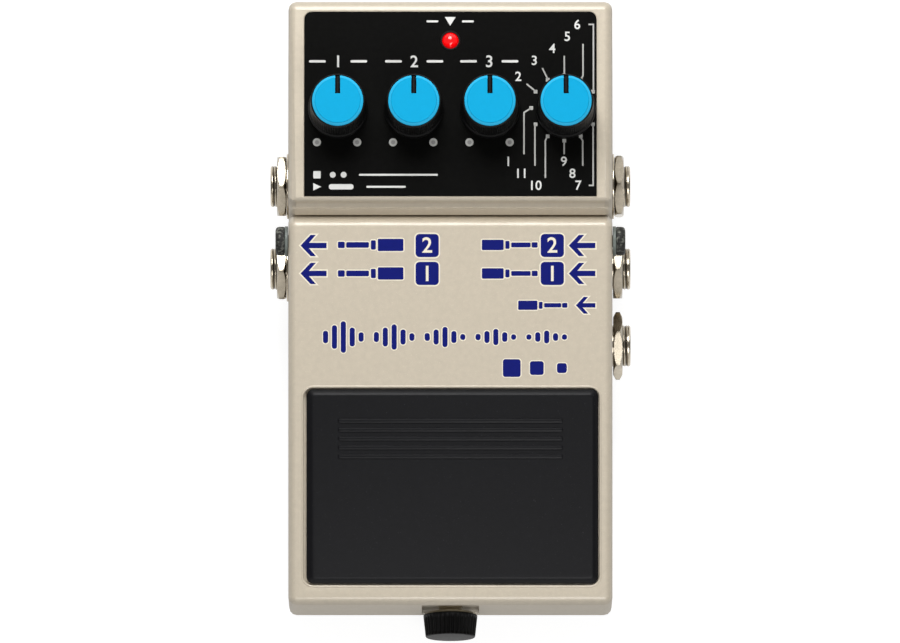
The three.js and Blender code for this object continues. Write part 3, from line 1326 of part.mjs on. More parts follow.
function treadRubber() {
  const height = TREAD_RECESS + TREAD_PROUD - SEAT_GAP;
  const foot = TREADLE_RISE - TREAD_RECESS + SEAT_GAP;
  const slab = new THREE.ExtrudeGeometry(roundedRectangle(treadWidth, TREAD_LENGTH, TREAD_CORNER_RADIUS), {
    depth: height - TREAD_PROUD + OVERRUN,
    bevelThickness: TREAD_PROUD,
    bevelSize: TREAD_BEVEL,
    bevelOffset: -TREAD_BEVEL,
    bevelSegments: 1,
    curveSegments: EDGE_STEPS,
  }).translate(0, -TREAD_SETBACK, foot - OVERRUN);
  const below = block(2 * treadWidth, 2 * TREAD_LENGTH, 2 * OVERRUN)
    .translate(0, -TREAD_SETBACK, foot - 2 * OVERRUN);
  const grips = Array.from({ length: GRIP_COUNT }, (_, i) => {
    const y = -GRIP_SETBACK + (i - (GRIP_COUNT - 1) / 2) * GRIP_PITCH;
    return raised(roundedRectangle(GRIP_LENGTH, GRIP_WIDTH, GRIP_WIDTH / 2 - SEAT_GAP), GRIP_HEIGHT + SEAT_GAP)
      .translate(0, y, foot + height - SEAT_GAP);
  });
  return cut(solid(slab), below).add(joined(...grips)).translate([TREAD_ROW_OFFSET, 0, 0]);
}

// Thumbscrew, on a level axis through the lip

const THUMBSCREW_HEAD_LENGTH = 4.54;
const THUMBSCREW_HEAD_RADIUS = 5.55;
const THUMBSCREW_END_RADIUS = 5.05;
const THUMBSCREW_NECK_RADIUS = 5.4;
const THUMBSCREW_NECK_LENGTH = 0.2;
const THUMBSCREW_FLUTES = 20;
const THUMBSCREW_FLUTE_DEPTH = 0.35;
const THUMBSCREW_SOCKET_DEPTH = 3.3;
const THUMBSCREW_TIP_GAP = 0.15; // tip to guide bush when loose
const THUMBSCREW_TIP_LENGTH = 2.2;
const THUMBSCREW_WASHER_RADIUS = 4.6;
const THUMBSCREW_WASHER_THICKNESS = 0.5;
const lipFaceY = lipFaceAt(screwZ);
const headFootY = lipFaceY - THUMBSCREW_STANDOFF;
const screwEndY = frontY - THUMBSCREW_TIP_GAP;

// The lip's outer face at a height above the ground.
function lipFaceAt(z) {
  const lean = TREADLE_SLOPE - LIP_DRAFT;
  const edge = new THREE.Vector3(0, -treadleReach, TREADLE_RISE).applyMatrix4(treadleFrame.matrixWorld);
  return edge.y + (edge.z - z) * Math.tan(lean);
}

// Turns a geometry made along +Z so that it points to the rear, starting at y on the thumbscrew's axis.
function alongRear(geometry, y) {
  return geometry.rotateX(-Math.PI / 2).translate(0, y, screwZ);
}

function thumbscrewHead() {
  const head = ribbed(
    [
      [0, THUMBSCREW_END_RADIUS, THUMBSCREW_FLUTE_DEPTH],
      [THUMBSCREW_HEAD_LENGTH - THUMBSCREW_NECK_LENGTH, THUMBSCREW_HEAD_RADIUS, THUMBSCREW_FLUTE_DEPTH],
      [THUMBSCREW_HEAD_LENGTH, THUMBSCREW_NECK_RADIUS, 0],
    ],
    THUMBSCREW_FLUTES,
  );
  const socket = rod(SCREW_RADIUS + FIT_GAP, THUMBSCREW_SOCKET_DEPTH + OVERRUN, SMALL_SIDES)
    .translate(0, 0, THUMBSCREW_HEAD_LENGTH - THUMBSCREW_SOCKET_DEPTH);
  const startY = headFootY - THUMBSCREW_HEAD_LENGTH;
  return cut(solid(alongRear(head, startY)), alongRear(socket, startY));
}

function thumbscrewShank() {
  const startY = headFootY - THUMBSCREW_SOCKET_DEPTH + FIT_GAP;
  const tipStart = screwEndY - startY - THUMBSCREW_TIP_LENGTH;
  const shank = turned(
    [
      [0, 0],
      [SCREW_RADIUS, 0],
      [SCREW_RADIUS, tipStart],
      [SCREW_TIP_RADIUS, tipStart],
      [SCREW_TIP_RADIUS, screwEndY - startY],
      [0, screwEndY - startY],
    ],
    SMALL_SIDES,
  );
  return alongRear(shank, startY);
}

function thumbscrewWasher() {
  const bore = SCREW_RADIUS + FIT_GAP;
  const washer = ring(THUMBSCREW_WASHER_RADIUS, bore, THUMBSCREW_WASHER_THICKNESS, SMALL_SIDES);
  return alongRear(washer, headFootY + SEAT_GAP);
}

piece(treadleFrame, "treadle", treadle(), CREAM_PAINT);
piece(treadleFrame, "tread_rubber", treadRubber(), BLACK_RUBBER);
piece(pedal, "thumbscrew_head", thumbscrewHead(), BLACK_PLASTIC);
piece(pedal, "thumbscrew_shank", thumbscrewShank(), ZINC_STEEL);
piece(pedal, "thumbscrew_washer", thumbscrewWasher(), GREY_PLASTIC);

export default pedal;
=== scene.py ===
# %% [markdown]
# # A delay pedal in Blender
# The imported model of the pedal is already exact: every casting, jack and screw is in its place.
# This lesson keeps that frame and gives each visible piece the shape and finish of the real one.
# Two ways of making things come back all the time.
# Small new pieces are surfaces worked out with numpy, as a formula over a grid of two parameters.
# The two big castings keep their exact solids, and only their shading is made smooth.

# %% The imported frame
import json
import bmesh
import bpy
import numpy as np
from mathutils import Matrix, Vector


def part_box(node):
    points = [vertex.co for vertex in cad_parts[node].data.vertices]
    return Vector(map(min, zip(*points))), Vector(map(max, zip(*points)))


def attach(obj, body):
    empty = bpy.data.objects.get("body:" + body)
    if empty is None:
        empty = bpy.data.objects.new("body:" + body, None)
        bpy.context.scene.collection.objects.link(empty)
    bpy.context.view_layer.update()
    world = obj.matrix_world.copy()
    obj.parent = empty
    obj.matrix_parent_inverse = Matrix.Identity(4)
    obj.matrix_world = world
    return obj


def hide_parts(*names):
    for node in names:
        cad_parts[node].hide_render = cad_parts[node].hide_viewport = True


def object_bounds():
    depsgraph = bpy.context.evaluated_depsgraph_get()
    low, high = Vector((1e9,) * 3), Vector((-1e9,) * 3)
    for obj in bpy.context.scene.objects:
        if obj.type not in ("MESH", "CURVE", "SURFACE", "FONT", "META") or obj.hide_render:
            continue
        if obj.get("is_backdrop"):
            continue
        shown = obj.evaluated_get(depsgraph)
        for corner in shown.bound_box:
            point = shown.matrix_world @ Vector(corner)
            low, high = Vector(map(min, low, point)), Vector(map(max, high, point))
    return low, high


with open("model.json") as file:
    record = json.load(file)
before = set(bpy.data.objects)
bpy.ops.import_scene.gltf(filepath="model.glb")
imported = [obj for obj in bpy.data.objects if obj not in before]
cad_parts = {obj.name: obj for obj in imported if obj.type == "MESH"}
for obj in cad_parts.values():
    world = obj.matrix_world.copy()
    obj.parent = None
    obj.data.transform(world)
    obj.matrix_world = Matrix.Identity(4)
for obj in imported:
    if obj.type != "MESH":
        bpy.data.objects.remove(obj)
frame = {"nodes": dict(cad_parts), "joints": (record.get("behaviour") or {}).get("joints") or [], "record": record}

MM = 0.001
DEG = np.pi / 180
UNTURNED = Matrix.Identity(4)
nodes = frame["nodes"]
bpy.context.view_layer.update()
joints = {joint["name"]: joint for joint in frame["joints"]}
slot_of = {row["node"]: row["material_slot"] for row in frame["record"]["subparts"]}
body_of = {name: body for body, names in frame["record"]["behaviour"]["bodies"].items() for name in names}


def new_object(name, data):
    made = bpy.data.objects.new(name, data)
    bpy.context.scene.collection.objects.link(made)
    return made


def box_mm(name):
    """A solid's lowest and highest corner, in millimetres."""
    return [np.array(corner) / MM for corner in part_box(name)]


# %% [markdown]
# ## Camera
# The photograph looks down on the pedal from the front, ten degrees short of straight above.
# Its edges run parallel, so the camera stands far off with a long lens.
# The scale of the photograph is 4.93 pixels for a millimetre, which fixes how far off.

# %% The camera
PHOTO_WIDTH, PHOTO_HEIGHT = 900, 643
PIXELS_PER_MM = 4.93
CAMERA_ELEVATION = 80 * DEG
LENS, SENSOR = 700.0, 36.0
HINGE_PIXEL = 241.3          # the row of the photograph on which the hinge axis lies
CENTRE_PIXEL = 450.4         # the column on which the pedal's middle lies
hinge_at = np.array(joints["treadle_hinge"]["pos_m"])

frame_width = PHOTO_WIDTH / PIXELS_PER_MM * MM
distance = frame_width * LENS / SENSOR
back = np.array([0, -np.cos(CAMERA_ELEVATION), np.sin(CAMERA_ELEVATION)])
up = np.array([0, np.sin(CAMERA_ELEVATION), np.cos(CAMERA_ELEVATION)])
# The hinge axis lies above the middle row by this much, so the target lies below it by the same.
above_middle = (PHOTO_HEIGHT / 2 - HINGE_PIXEL) / PIXELS_PER_MM * MM
left_of_middle = (PHOTO_WIDTH / 2 - CENTRE_PIXEL) / PIXELS_PER_MM * MM
target = hinge_at * [0, 1, 1] - up * above_middle + np.array([left_of_middle, 0, 0])

camera_data = bpy.data.cameras.new("photo_camera")
camera_data.lens, camera_data.sensor_width = LENS, SENSOR
camera_data.clip_start, camera_data.clip_end = 0.05, 50
camera = new_object("photo_camera", camera_data)
camera.location = Vector(target + back * distance)
camera.rotation_euler = (np.pi / 2 - CAMERA_ELEVATION, 0, 0)
bpy.context.scene.camera = camera
print("camera", round(distance, 2), "m from the pedal")

# %% [markdown]
# ## Places on the pedal
# Most pieces belong to a tilted face: the panel leans by 1.7 degrees and the treadle by 10.
# A matrix for each face lets every piece be made flat, in millimetres, and then be put in place.
# The panel's frame starts at the case's rear top edge, the treadle's on the hinge axis.

# %% Frames of the panel, the treadle and the sides
PANEL_TILT = 1.7 * DEG
TREADLE_TILT = 10 * DEG
REAR_TOP_EDGE = np.array([0, 57.45, 46.6])
PANEL_TOP = 0.3
TREADLE_TOP = 4.0
CASE_HALF = 32.85
# The column of the photograph on which each face's middle lies, the panel's first row,
# and the panel's own scale, which is less because the camera looks down on it at a slant
PANEL_MIDDLE_PIXEL, TREADLE_MIDDLE_PIXEL = 450.2, 450.7
PANEL_EDGE_PIXEL = 0.13
PANEL_PIXELS_PER_MM = 4.878


def tilted(origin_mm, angle):
    """A frame turned about X by the angle, with its origin in millimetres."""
    return Matrix.Translation(Vector(origin_mm) * MM) @ Matrix.Rotation(angle, 4, "X")


def shifted(x=0, y=0, z=0):
    return Matrix.Translation(Vector((x, y, z)) * MM)


def out_of_side(side, y, z):
    """A frame on the case's side wall whose +Z points out of it; side is 1 or -1."""
    return shifted(side * CASE_HALF, y, z) @ Matrix.Rotation(side * np.pi / 2, 4, "Y")


def panel_spot(u, v):
    """A pixel of the photograph as [x, y] millimetres in the panel's frame."""
    return np.array([(u - PANEL_MIDDLE_PIXEL) / PIXELS_PER_MM, -(v - PANEL_EDGE_PIXEL) / PANEL_PIXELS_PER_MM])


def treadle_spot(u, v):
    """A pixel of the photograph as [x, y] millimetres in the treadle's frame, seen square on."""
    return np.array([u - TREADLE_MIDDLE_PIXEL, HINGE_PIXEL - v]) / PIXELS_PER_MM


panel_frame = tilted(REAR_TOP_EDGE, PANEL_TILT)
treadle_frame = tilted(hinge_at / MM, TREADLE_TILT)

# %% [markdown]
# ## From arrays to meshes
# A surface here is a grid of points: rows run along a profile, columns round an axis.
# The helper joins neighbouring grid points into four-sided faces and welds the points that meet.
# Edges sharper than a chosen angle stay crisp, and everything below it is shaded smooth.

# %% Mesh helpers
WELD = 1e-7                   # metres within which two points are one


def piece(name, points_mm, faces, place, body, material, slot, crisp, stands_for=(), crevice_shade=None):
    """Makes one object from points in millimetres, put in place by a matrix and riding on a body.

    Edges that turn by more than crisp, in degrees, stay sharp. The last argument holds a number from 0 to 1 for
    each point, which the finishes use as painted shade in grooves and creases."""
    points = np.asarray(points_mm, float) * MM
    matrix = np.array(place)
    points = points @ matrix[:3, :3].T + matrix[:3, 3]
    mesh = bpy.data.meshes.new(name)
    mesh.from_pydata(points.tolist(), [], [list(map(int, face)) for face in faces])
    # The shade array becomes a point attribute, which the finishes turn into painted shade.
    if crevice_shade is not None:
        attribute = mesh.attributes.new("crevice_shade", "FLOAT", "POINT")
        attribute.data.foreach_set("value", np.asarray(crevice_shade, np.float32))
    work = bmesh.new()
    work.from_mesh(mesh)
    bmesh.ops.remove_doubles(work, verts=work.verts, dist=WELD)
    bmesh.ops.recalc_face_normals(work, faces=work.faces)
    work.to_mesh(mesh)
    work.free()
    mesh.shade_smooth()
    mesh.set_sharp_from_angle(angle=crisp * DEG)
    mesh.materials.append(material)
    made = new_object(name, mesh)
    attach(made, body)
    if stands_for:
        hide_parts(*stands_for)


def grid_faces(rows, columns):
    """The four-sided faces of a grid whose columns go round and meet."""
    row, column = np.meshgrid(np.arange(rows - 1), np.arange(columns), indexing="ij")
    after = (column + 1) % columns
    here = row * columns
    corners = [here + column, here + after, here + after + columns, here + column + columns]
    return np.stack(corners, -1).reshape(-1, 4)


def end_faces(rows, columns):
    """The two faces that close a stack of loops at its first and its last row."""
    return [np.arange(columns)[::-1], np.arange(columns) + (rows - 1) * columns]


def around(columns):
    return np.linspace(0, 2 * np.pi, columns, endpoint=False)


def ripple(angle):
    """From 0 to 1 and back once for each full turn of the angle."""
    return 0.5 - 0.5 * np.cos(angle)


def between(value, start, end, rising, falling):
    """1 between start and end, with straight ramps from 0 and to 0 just inside them."""
    return np.clip((value - start) / rising, 0, 1) * np.clip((end - value) / falling, 0, 1)


def polar(radius, angle, height):
    """Points (r cos a, r sin a, h) from arrays whose shapes go together."""
    return np.stack(np.broadcast_arrays(radius * np.cos(angle), radius * np.sin(angle), height), -1)


def lathe(profile, columns, swell=None):
    """Turns a profile of [radius, height] about Z. swell(angle, height, radius) gives a new radius."""
    radius, height = np.split(np.asarray(profile, float), 2, axis=1)
    angle = around(columns)
    if swell is not None:
        radius = swell(angle, height, radius)
    return polar(radius, angle, height).reshape(-1, 3), grid_faces(len(profile), columns)


def closed(profile):
    return np.vstack([profile, profile[:1]])


def rounded(corners, steps):
    """A profile whose corners, given as [r, h, rounding], are replaced by arcs through quadratic blends."""
    corners = [np.array(corner, float) for corner in corners]
    out = []
    for i, corner in enumerate(corners):
        size = corner[2] if len(corner) > 2 else 0
        if size == 0 or i in (0, len(corners) - 1):
            out.append(corner[:2])
            continue
        before, after = corners[i - 1][:2] - corner[:2], corners[i + 1][:2] - corner[:2]
        start = corner[:2] + before / np.linalg.norm(before) * size
        end = corner[:2] + after / np.linalg.norm(after) * size
        t = np.linspace(0, 1, steps)[:, None]
        out.extend((1 - t) ** 2 * start + 2 * t * (1 - t) * corner[:2] + t ** 2 * end)
    return np.array(out)


def rounded_rectangle(width, length, radius, steps):
    """A closed loop of [x, y] round a rectangle with round corners."""
    turn = np.linspace(0, np.pi / 2, steps)
    arcs = []
    for quarter, (sx, sy) in enumerate([(1, 1), (-1, 1), (-1, -1), (1, -1)]):
        centre = np.array([sx * (width / 2 - radius), sy * (length / 2 - radius)])
        angle = turn + quarter * np.pi / 2
        arcs.append(centre + radius * np.stack([np.cos(angle), np.sin(angle)], -1))
    return np.concatenate(arcs)


def stacked(loops, heights):
    """A closed body from loops of equal length, one above the other, capped at both ends."""
    columns = len(loops[0])
    points = np.concatenate([np.column_stack([loop, np.full(columns, h)]) for loop, h in zip(loops, heights)])
    return points, [*grid_faces(len(loops), columns), *end_faces(len(loops), columns)]


def drawn_in(width, length, levels, corner, tighter, steps, foot=0.0):
    """A stack of one rounded rectangle, each level drawn in by its inset, which also tightens the corners."""
    loops = [rounded_rectangle(width - 2 * inset, length - 2 * inset, corner - inset * tighter, steps)
             for inset, _ in levels]
    return stacked(loops, [foot + rise for _, rise in levels])


def together(*parts):
    """Several (points, faces) as one."""
    points, faces, count = [], [], 0
    for part_points, part_faces in parts:
        points.append(part_points)
        faces.extend([np.asarray(face) + count for face in part_faces])
        count += len(part_points)
    return np.concatenate(points), faces


def moved(part, x=0, y=0, z=0):
    return part[0] + np.array([x, y, z]), part[1]


# %% [markdown]
# ## Finishes
# A finish that more than one material needs is a node group, with inputs for its own values.
# The first group is a fine grain: a noise that varies the roughness and pushes the surface in and out.
# The second scatters small flakes over a colour, which is what makes pearl paint sparkle, and it paints shade into
# the grooves and creases that a piece marks.
# The third lays a clear lacquer on the faces that look up.

# %% Shared shader groups
def wire(tree, *routes):
    """Links sockets. Each route is a node, its output, the next node and its input."""
    for start, leaving, end, entering in routes:
        tree.links.new(start.outputs[leaving], end.inputs[entering])


def set_inputs(made, values):
    for key, value in values:
        made.inputs[key].default_value = value


def node(tree, kind, values=(), **options):
    """A new shader node with its options, and with values for its inputs as (key, value) pairs."""
    made = tree.nodes.new("ShaderNode" + kind)
    for option, choice in options.items():
        setattr(made, option, choice)
    set_inputs(made, values)
    return made


def math(tree, operation, *values):
    """A Math node; values fill its inputs from the first on, and None leaves one to a link."""
    numbers = [(key, value) for key, value in enumerate(values) if value is not None]
    return node(tree, "Math", numbers, operation=operation)


def empty_group(name, inputs, outputs):
    """A group with named sockets, given as (name, kind, default), and its two end nodes."""
    group = bpy.data.node_groups.new(name, "ShaderNodeTree")
    for direction, sockets in [("INPUT", inputs), ("OUTPUT", outputs)]:
        for label, kind, *default in sockets:
            made = group.interface.new_socket(name=label, in_out=direction, socket_type="NodeSocket" + kind)
            if default:
                made.default_value = default[0]
    return group, group.nodes.new("NodeGroupInput"), group.nodes.new("NodeGroupOutput")


def grain_group():
    """Noise on Object coordinates: a roughness that strays by Spread, and a bump of height Depth."""
    inputs = [("Scale", "Float", 1500.0), ("Depth", "Float", 0.1), ("Roughness", "Float", 0.5),
              ("Spread", "Float", 0.1)]
    group, starts, ends = empty_group("Fine grain", inputs, [("Roughness", "Float"), ("Normal", "Vector")])
    place = node(group, "TexCoord")
    noise = node(group, "TexNoise", [("Detail", 3.0)])
    stray = math(group, "SUBTRACT", None, 0.5)
    share = math(group, "MULTIPLY_ADD")
    bump = node(group, "Bump", [("Distance", BUMP_HEIGHT)])
    wire(group, (place, "Object", noise, "Vector"), (starts, "Scale", noise, "Scale"),
         (noise, "Fac", stray, 0), (stray, 0, share, 0), (starts, "Spread", share, 1),
         (starts, "Roughness", share, 2), (share, 0, ends, "Roughness"),
         (noise, "Fac", bump, "Height"), (starts, "Depth", bump, "Strength"),
         (bump, "Normal", ends, "Normal"))
    return group


def flake_group():
    """Colour = base, darkened and lightened by soft mottling, with bright flakes where a fine noise peaks.

    Painted shade: where a piece has the shade attribute, the colour falls towards black by the shade input times
    its value."""
    inputs = [("Base", "Color"), ("Flake", "Color"), ("Size", "Float", 3500.0), ("Share", "Float", 0.62),
              ("Mottling", "Float", 0.05), ("Grime", "Float", 0.9)]
    group, starts, ends = empty_group("Pearl flakes", inputs, [("Color", "Color")])
    place = node(group, "TexCoord")
    fine = node(group, "TexNoise", [("Detail", 1.0)])
    soft = node(group, "TexNoise", [("Scale", 900.0)])
    peak = node(group, "MapRange", [("From Max", 0.85)])
    shade = node(group, "MapRange", [("From Min", 0.3), ("From Max", 0.7)])
    darker, lighter = math(group, "SUBTRACT", 1.0), math(group, "ADD", 1.0)
    tinted = node(group, "VectorMath", operation="SCALE")
    mix = node(group, "Mix", data_type="RGBA")
    # Painted shade: this attribute darkens the colour in grooves and creases.
    groove = node(group, "Attribute", attribute_name="crevice_shade")
    crevice_darkening, unshaded_share = math(group, "MULTIPLY"), math(group, "SUBTRACT", 1.0)
    crevice_shaded_colour = node(group, "VectorMath", operation="SCALE")
    wire(group, (place, "Object", fine, "Vector"), (place, "Object", soft, "Vector"),
         (starts, "Size", fine, "Scale"), (fine, "Fac", peak, "Value"),
         (starts, "Share", peak, "From Min"), (soft, "Fac", shade, "Value"),
         (starts, "Mottling", darker, 1), (starts, "Mottling", lighter, 1),
         (darker, 0, shade, "To Min"), (lighter, 0, shade, "To Max"), (starts, "Base", tinted, 0),
         (shade, "Result", tinted, "Scale"), (tinted, "Vector", mix, "A"),
         (starts, "Flake", mix, "B"), (peak, "Result", mix, "Factor"), (groove, "Fac", crevice_darkening, 0),
         (starts, "Grime", crevice_darkening, 1), (crevice_darkening, 0, unshaded_share, 1), (mix, "Result", crevice_shaded_colour, 0),
         (unshaded_share, 0, crevice_shaded_colour, "Scale"), (crevice_shaded_colour, "Vector", ends, "Color"))
    return group


def lacquer_group():
    """Coat = Weight on faces that look up, and none on upright ones, which would mirror the white floor."""
    group, starts, ends = empty_group("Lacquer on top", [("Weight", "Float", 0.5)], [("Coat", "Float")])
    place, parts = node(group, "TexCoord"), node(group, "SeparateXYZ")
    steepest, flattest = [("From Min", 0.1), ("From Max", 0.6)]
    slope = node(group, "MapRange", [steepest, flattest], interpolation_type="SMOOTHSTEP")
    wire(group, (place, "Normal", parts, 0), (parts, "Z", slope, "Value"),
         (starts, "Weight", slope, "To Max"), (slope, "Result", ends, "Coat"))
    return group


BUMP_HEIGHT = 0.00002
FINE_GRAIN, PEARL_FLAKES, LACQUER = grain_group(), flake_group(), lacquer_group()


def linear(r, g, b):
    """An 8-bit screen colour as linear light."""
    c = np.array([r, g, b]) / 255
    return (*np.where(c <= 0.04045, c / 12.92, ((c + 0.055) / 1.055) ** 2.4).tolist(), 1.0)


def finish(name, rgb, roughness=0.5, metal=0.0, scale=1500.0, depth=0.1, spread=0.1, flake=None,
           mottling=0.05, share=0.62, size=3500.0, coat=0.0, coat_roughness=0.1, specular=0.5, glow=0.0):
    """A material from the groups and one Principled shader, with its constants set on the shader."""
    material = bpy.data.materials.new(name)
    material.use_nodes = True
    tree = material.node_tree
    shader = tree.nodes["Principled BSDF"]
    set_inputs(shader, [("Metallic", metal), ("Coat Roughness", coat_roughness),
                        ("Specular IOR Level", specular)])
    roughening = [("Scale", scale), ("Depth", depth), ("Roughness", roughness), ("Spread", spread)]
    grain = node(tree, "Group", roughening, node_tree=FINE_GRAIN)
    base = linear(*rgb)
    colouring = [("Base", base), ("Flake", linear(*flake) if flake else base), ("Size", size),
                 ("Share", share), ("Mottling", mottling)]
    paint = node(tree, "Group", colouring, node_tree=PEARL_FLAKES)
    wire(tree, (grain, "Roughness", shader, "Roughness"), (grain, "Normal", shader, "Normal"),
         (paint, "Color", shader, "Base Color"))
    if coat > 0:
        top = node(tree, "Group", [("Weight", coat)], node_tree=LACQUER)
        wire(tree, (top, "Coat", shader, "Coat Weight"))
    if glow:
        set_inputs(shader, [("Emission Strength", glow)])
        wire(tree, (paint, "Color", shader, "Emission Color"))
    return material


def ink_finish(name, rgb, roughness=0.6, mottling=0.02, specular=0.2):
    return finish(name, rgb, roughness, mottling=mottling, depth=0.02, specular=specular)


# %% The pedal's finishes
pearl_paint = finish("pearl cream paint", (205, 194, 175), 0.48, 0.1, scale=700, depth=0.05, spread=0.08,
                     flake=(232, 224, 204), share=0.64, size=7000, mottling=0.03, coat=0.7,
                     coat_roughness=0.14, specular=0.2)
panel_lacquer = finish("black panel lacquer", (11, 11, 10), 0.45, scale=2500, depth=0.04, mottling=0.15,
                       specular=0.03)
knob_black = finish("moulded black plastic", (9, 9, 9), 0.5, scale=1800, depth=0.08, mottling=0.15,
                    specular=0.16)
cap_blue = finish("blue cap plastic", (14, 166, 215), 0.45, scale=2200, depth=0.03, mottling=0.015,
                  specular=0.05)
# A lighter copy of the cap's blue: a painted highlight on the disc's broken edge.
cap_edge_highlight = finish("blue cap edge painted highlight", (44, 190, 240), 0.35, scale=2200, depth=0.02, mottling=0.01, specular=0.3)
tread_black = finish("tread rubber", (14, 14, 17), 0.42, scale=3200, depth=0.14, mottling=0.1,
                     flake=(50, 51, 54), share=0.7, specular=0.2)
nickel = finish("nickel plate", (190, 180, 162), 0.2, 1.0, scale=500, depth=0.03, spread=0.16, mottling=0.08)
cap_rubber = finish("hinge cap rubber", (36, 36, 34), 0.6, scale=1100, depth=1.0, mottling=0.5,
                    flake=(140, 142, 132), share=0.5, size=1500, specular=0.3)
flange_grey = finish("hinge flange", (104, 111, 106), 0.45, depth=0.08, mottling=0.08)
dull_steel = finish("dull steel", (150, 150, 146), 0.4, 1.0, scale=900, depth=0.08, spread=0.2, mottling=0.1)
spring_steel = finish("spring steel", (150, 152, 155), 0.28, 1.0, scale=1200, depth=0.05, spread=0.15)
lamp_red = finish("lamp red", (250, 4, 10), 0.15, depth=0.0, mottling=0.0, coat=0.6, coat_roughness=0.03,
                  glow=0.4)
board_green = finish("circuit board green", (20, 83, 45), 0.4, scale=600, depth=0.15, mottling=0.3, coat=0.3)
white_plastic = finish("white plastic", (216, 216, 208), 0.45, depth=0.06, mottling=0.03)
# The washer's pale plastic, darkened to khaki by painted shade where it sits in the recess under the head.
pale_plastic_in_shade = finish("pale plastic in painted shade", (168, 158, 134), 0.5, depth=0.08, mottling=0.06)
# Matt warm steel, toned khaki like the shaded recess round the shank: painted shade.
steel_in_recess_shade = finish("steel in painted recess shade", (164, 152, 126), 0.55, 0.3, depth=0.08, mottling=0.06)
grey_plastic = finish("grey plastic", (58, 59, 62), 0.55, depth=0.08, mottling=0.06)
battery_wrap = finish("battery wrap", (34, 38, 46), 0.3, 0.3, scale=400, depth=0.05, coat=0.5)
battery_band = finish("battery band", (176, 122, 58), 0.3, 0.7, scale=400, depth=0.05, coat=0.5)
snap_vinyl = finish("battery snap vinyl", (20, 20, 21), 0.5, scale=900, depth=0.2, mottling=0.1, specular=0.3)
red_wire = finish("red wire", (170, 20, 20), 0.45, mottling=0.04)
black_wire = finish("black wire", (17, 17, 17), 0.45, mottling=0.04)
white_ink = ink_finish("white ink", (228, 228, 225))
grey_ink = ink_finish("grey ink", (190, 190, 186))
dim_ink = ink_finish("dim grey ink", (150, 150, 148))
navy_ink = ink_finish("navy ink", (8, 20, 112), 0.5, 0.04, 0.12)
pale_ink = ink_finish("pale ink", (240, 232, 212), 0.5, specular=0.5)

BY_SLOT = {
    "cream_paint": pearl_paint, "black_panel": panel_lacquer, "black_rubber": tread_black,
    "black_plastic": knob_black, "blue_plastic": cap_blue, "red_lens": lamp_red, "nickel": nickel,
    "dark_metal": cap_rubber, "zinc_steel": dull_steel, "spring_steel": spring_steel, "pot_can": dull_steel,
    "green_board": board_green, "grey_plastic": grey_plastic, "white_plastic": white_plastic,
    "battery_jacket": battery_wrap, "red_wire": red_wire, "black_wire": black_wire,
}
for name, solid in nodes.items():
    solid.data.materials.clear()
    solid.data.materials.append(BY_SLOT[slot_of[name]])
print(len(bpy.data.materials), "materials for", len(BY_SLOT), "slots")

# %% [markdown]
# ## The castings
# The chassis, the treadle and a few other solids have the right shape, but flat facets on their round edges.
# A copy with its corners welded is shaded smooth up to a chosen angle.
# Weighted normals then keep the big faces flat, so that only the rounding between them turns the light.

# %% Smoothly shaded copies of the exact solids
FLAT_ANGLE = 0.4 * DEG        # faces that turn by less are joined
CRISP_ANGLE = 30 * DEG
CASTING_WELD = 2e-6


def smooth_copy(node_name):
    """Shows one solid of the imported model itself, with smooth shading."""
    mesh = nodes[node_name].data.copy()
    work = bmesh.new()
    work.from_mesh(mesh)
    bmesh.ops.remove_doubles(work, verts=work.verts, dist=CASTING_WELD)
    bmesh.ops.dissolve_limit(work, angle_limit=FLAT_ANGLE, verts=work.verts, edges=work.edges)
    work.to_mesh(mesh)
    work.free()
    mesh.name = node_name + "_shell"
    mesh.shade_smooth()
    mesh.set_sharp_from_angle(angle=CRISP_ANGLE)
    made = new_object(node_name + "_shell", mesh)
    weigh = made.modifiers.new("flat faces stay flat", "WEIGHTED_NORMAL")
    weigh.keep_sharp, weigh.weight = True, 100
    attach(made, body_of[node_name])
    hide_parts(node_name)


SHOWN_AS_PACKED = ["chassis", "treadle", "guide_bush", "dc_jack", "bottom_plate", "base_pad", "control_panel",
                   "hinge_bush_left", "hinge_bush_right"]
for name in SHOWN_AS_PACKED:
    smooth_copy(name)
print(len(SHOWN_AS_PACKED), "solids shown as packed")

# %% [markdown]
# ## Knobs
# Each knob is a black moulding with fine ribs, on a plain foot, and a blue disc let into its top.
# The ribs are a ripple on the radius: it falls to a thin valley some seventy times round.
# The blue disc has a broken edge, in a lighter blue that is a painted highlight, and a notch, in which a black bar
# of the knob shows as the pointer.

# %% Knob bodies, blue discs and pointers
KNOB_RIBS, RIB_DEPTH = 72, 0.16
RIB_START, RIB_END, RIB_FADE = 2.6, 11.0, 0.3
CAP_RADIUS, CAP_FLAT_RADIUS = 5.15, 4.62
CAP_FOOT, CAP_SHOULDER, CAP_TOP = 10.75, 11.9, 11.98
NOTCH_HALF, NOTCH_END = 0.52, 1.4
POINTER_MIDDLE = 3.3          # to the rear of the knob's axis
KNOB_FOOT = 0.7               # above the housing's top face
KNOB_SETBACK, KNOB_PITCH = 22.5, 15.38
ROW_OFFSET = 0.3              # the row's middle lies this far right of the pedal's middle
DIALS = ["level", "feedback", "time", "mode"]


def rib_ripple(angle, height, radius):
    """Radius less a rounded valley for each rib, between the foot and the rim."""
    valley = ripple(angle * KNOB_RIBS) ** 2
    return radius - RIB_DEPTH * valley * between(height, RIB_START, RIB_END, RIB_FADE, RIB_FADE)


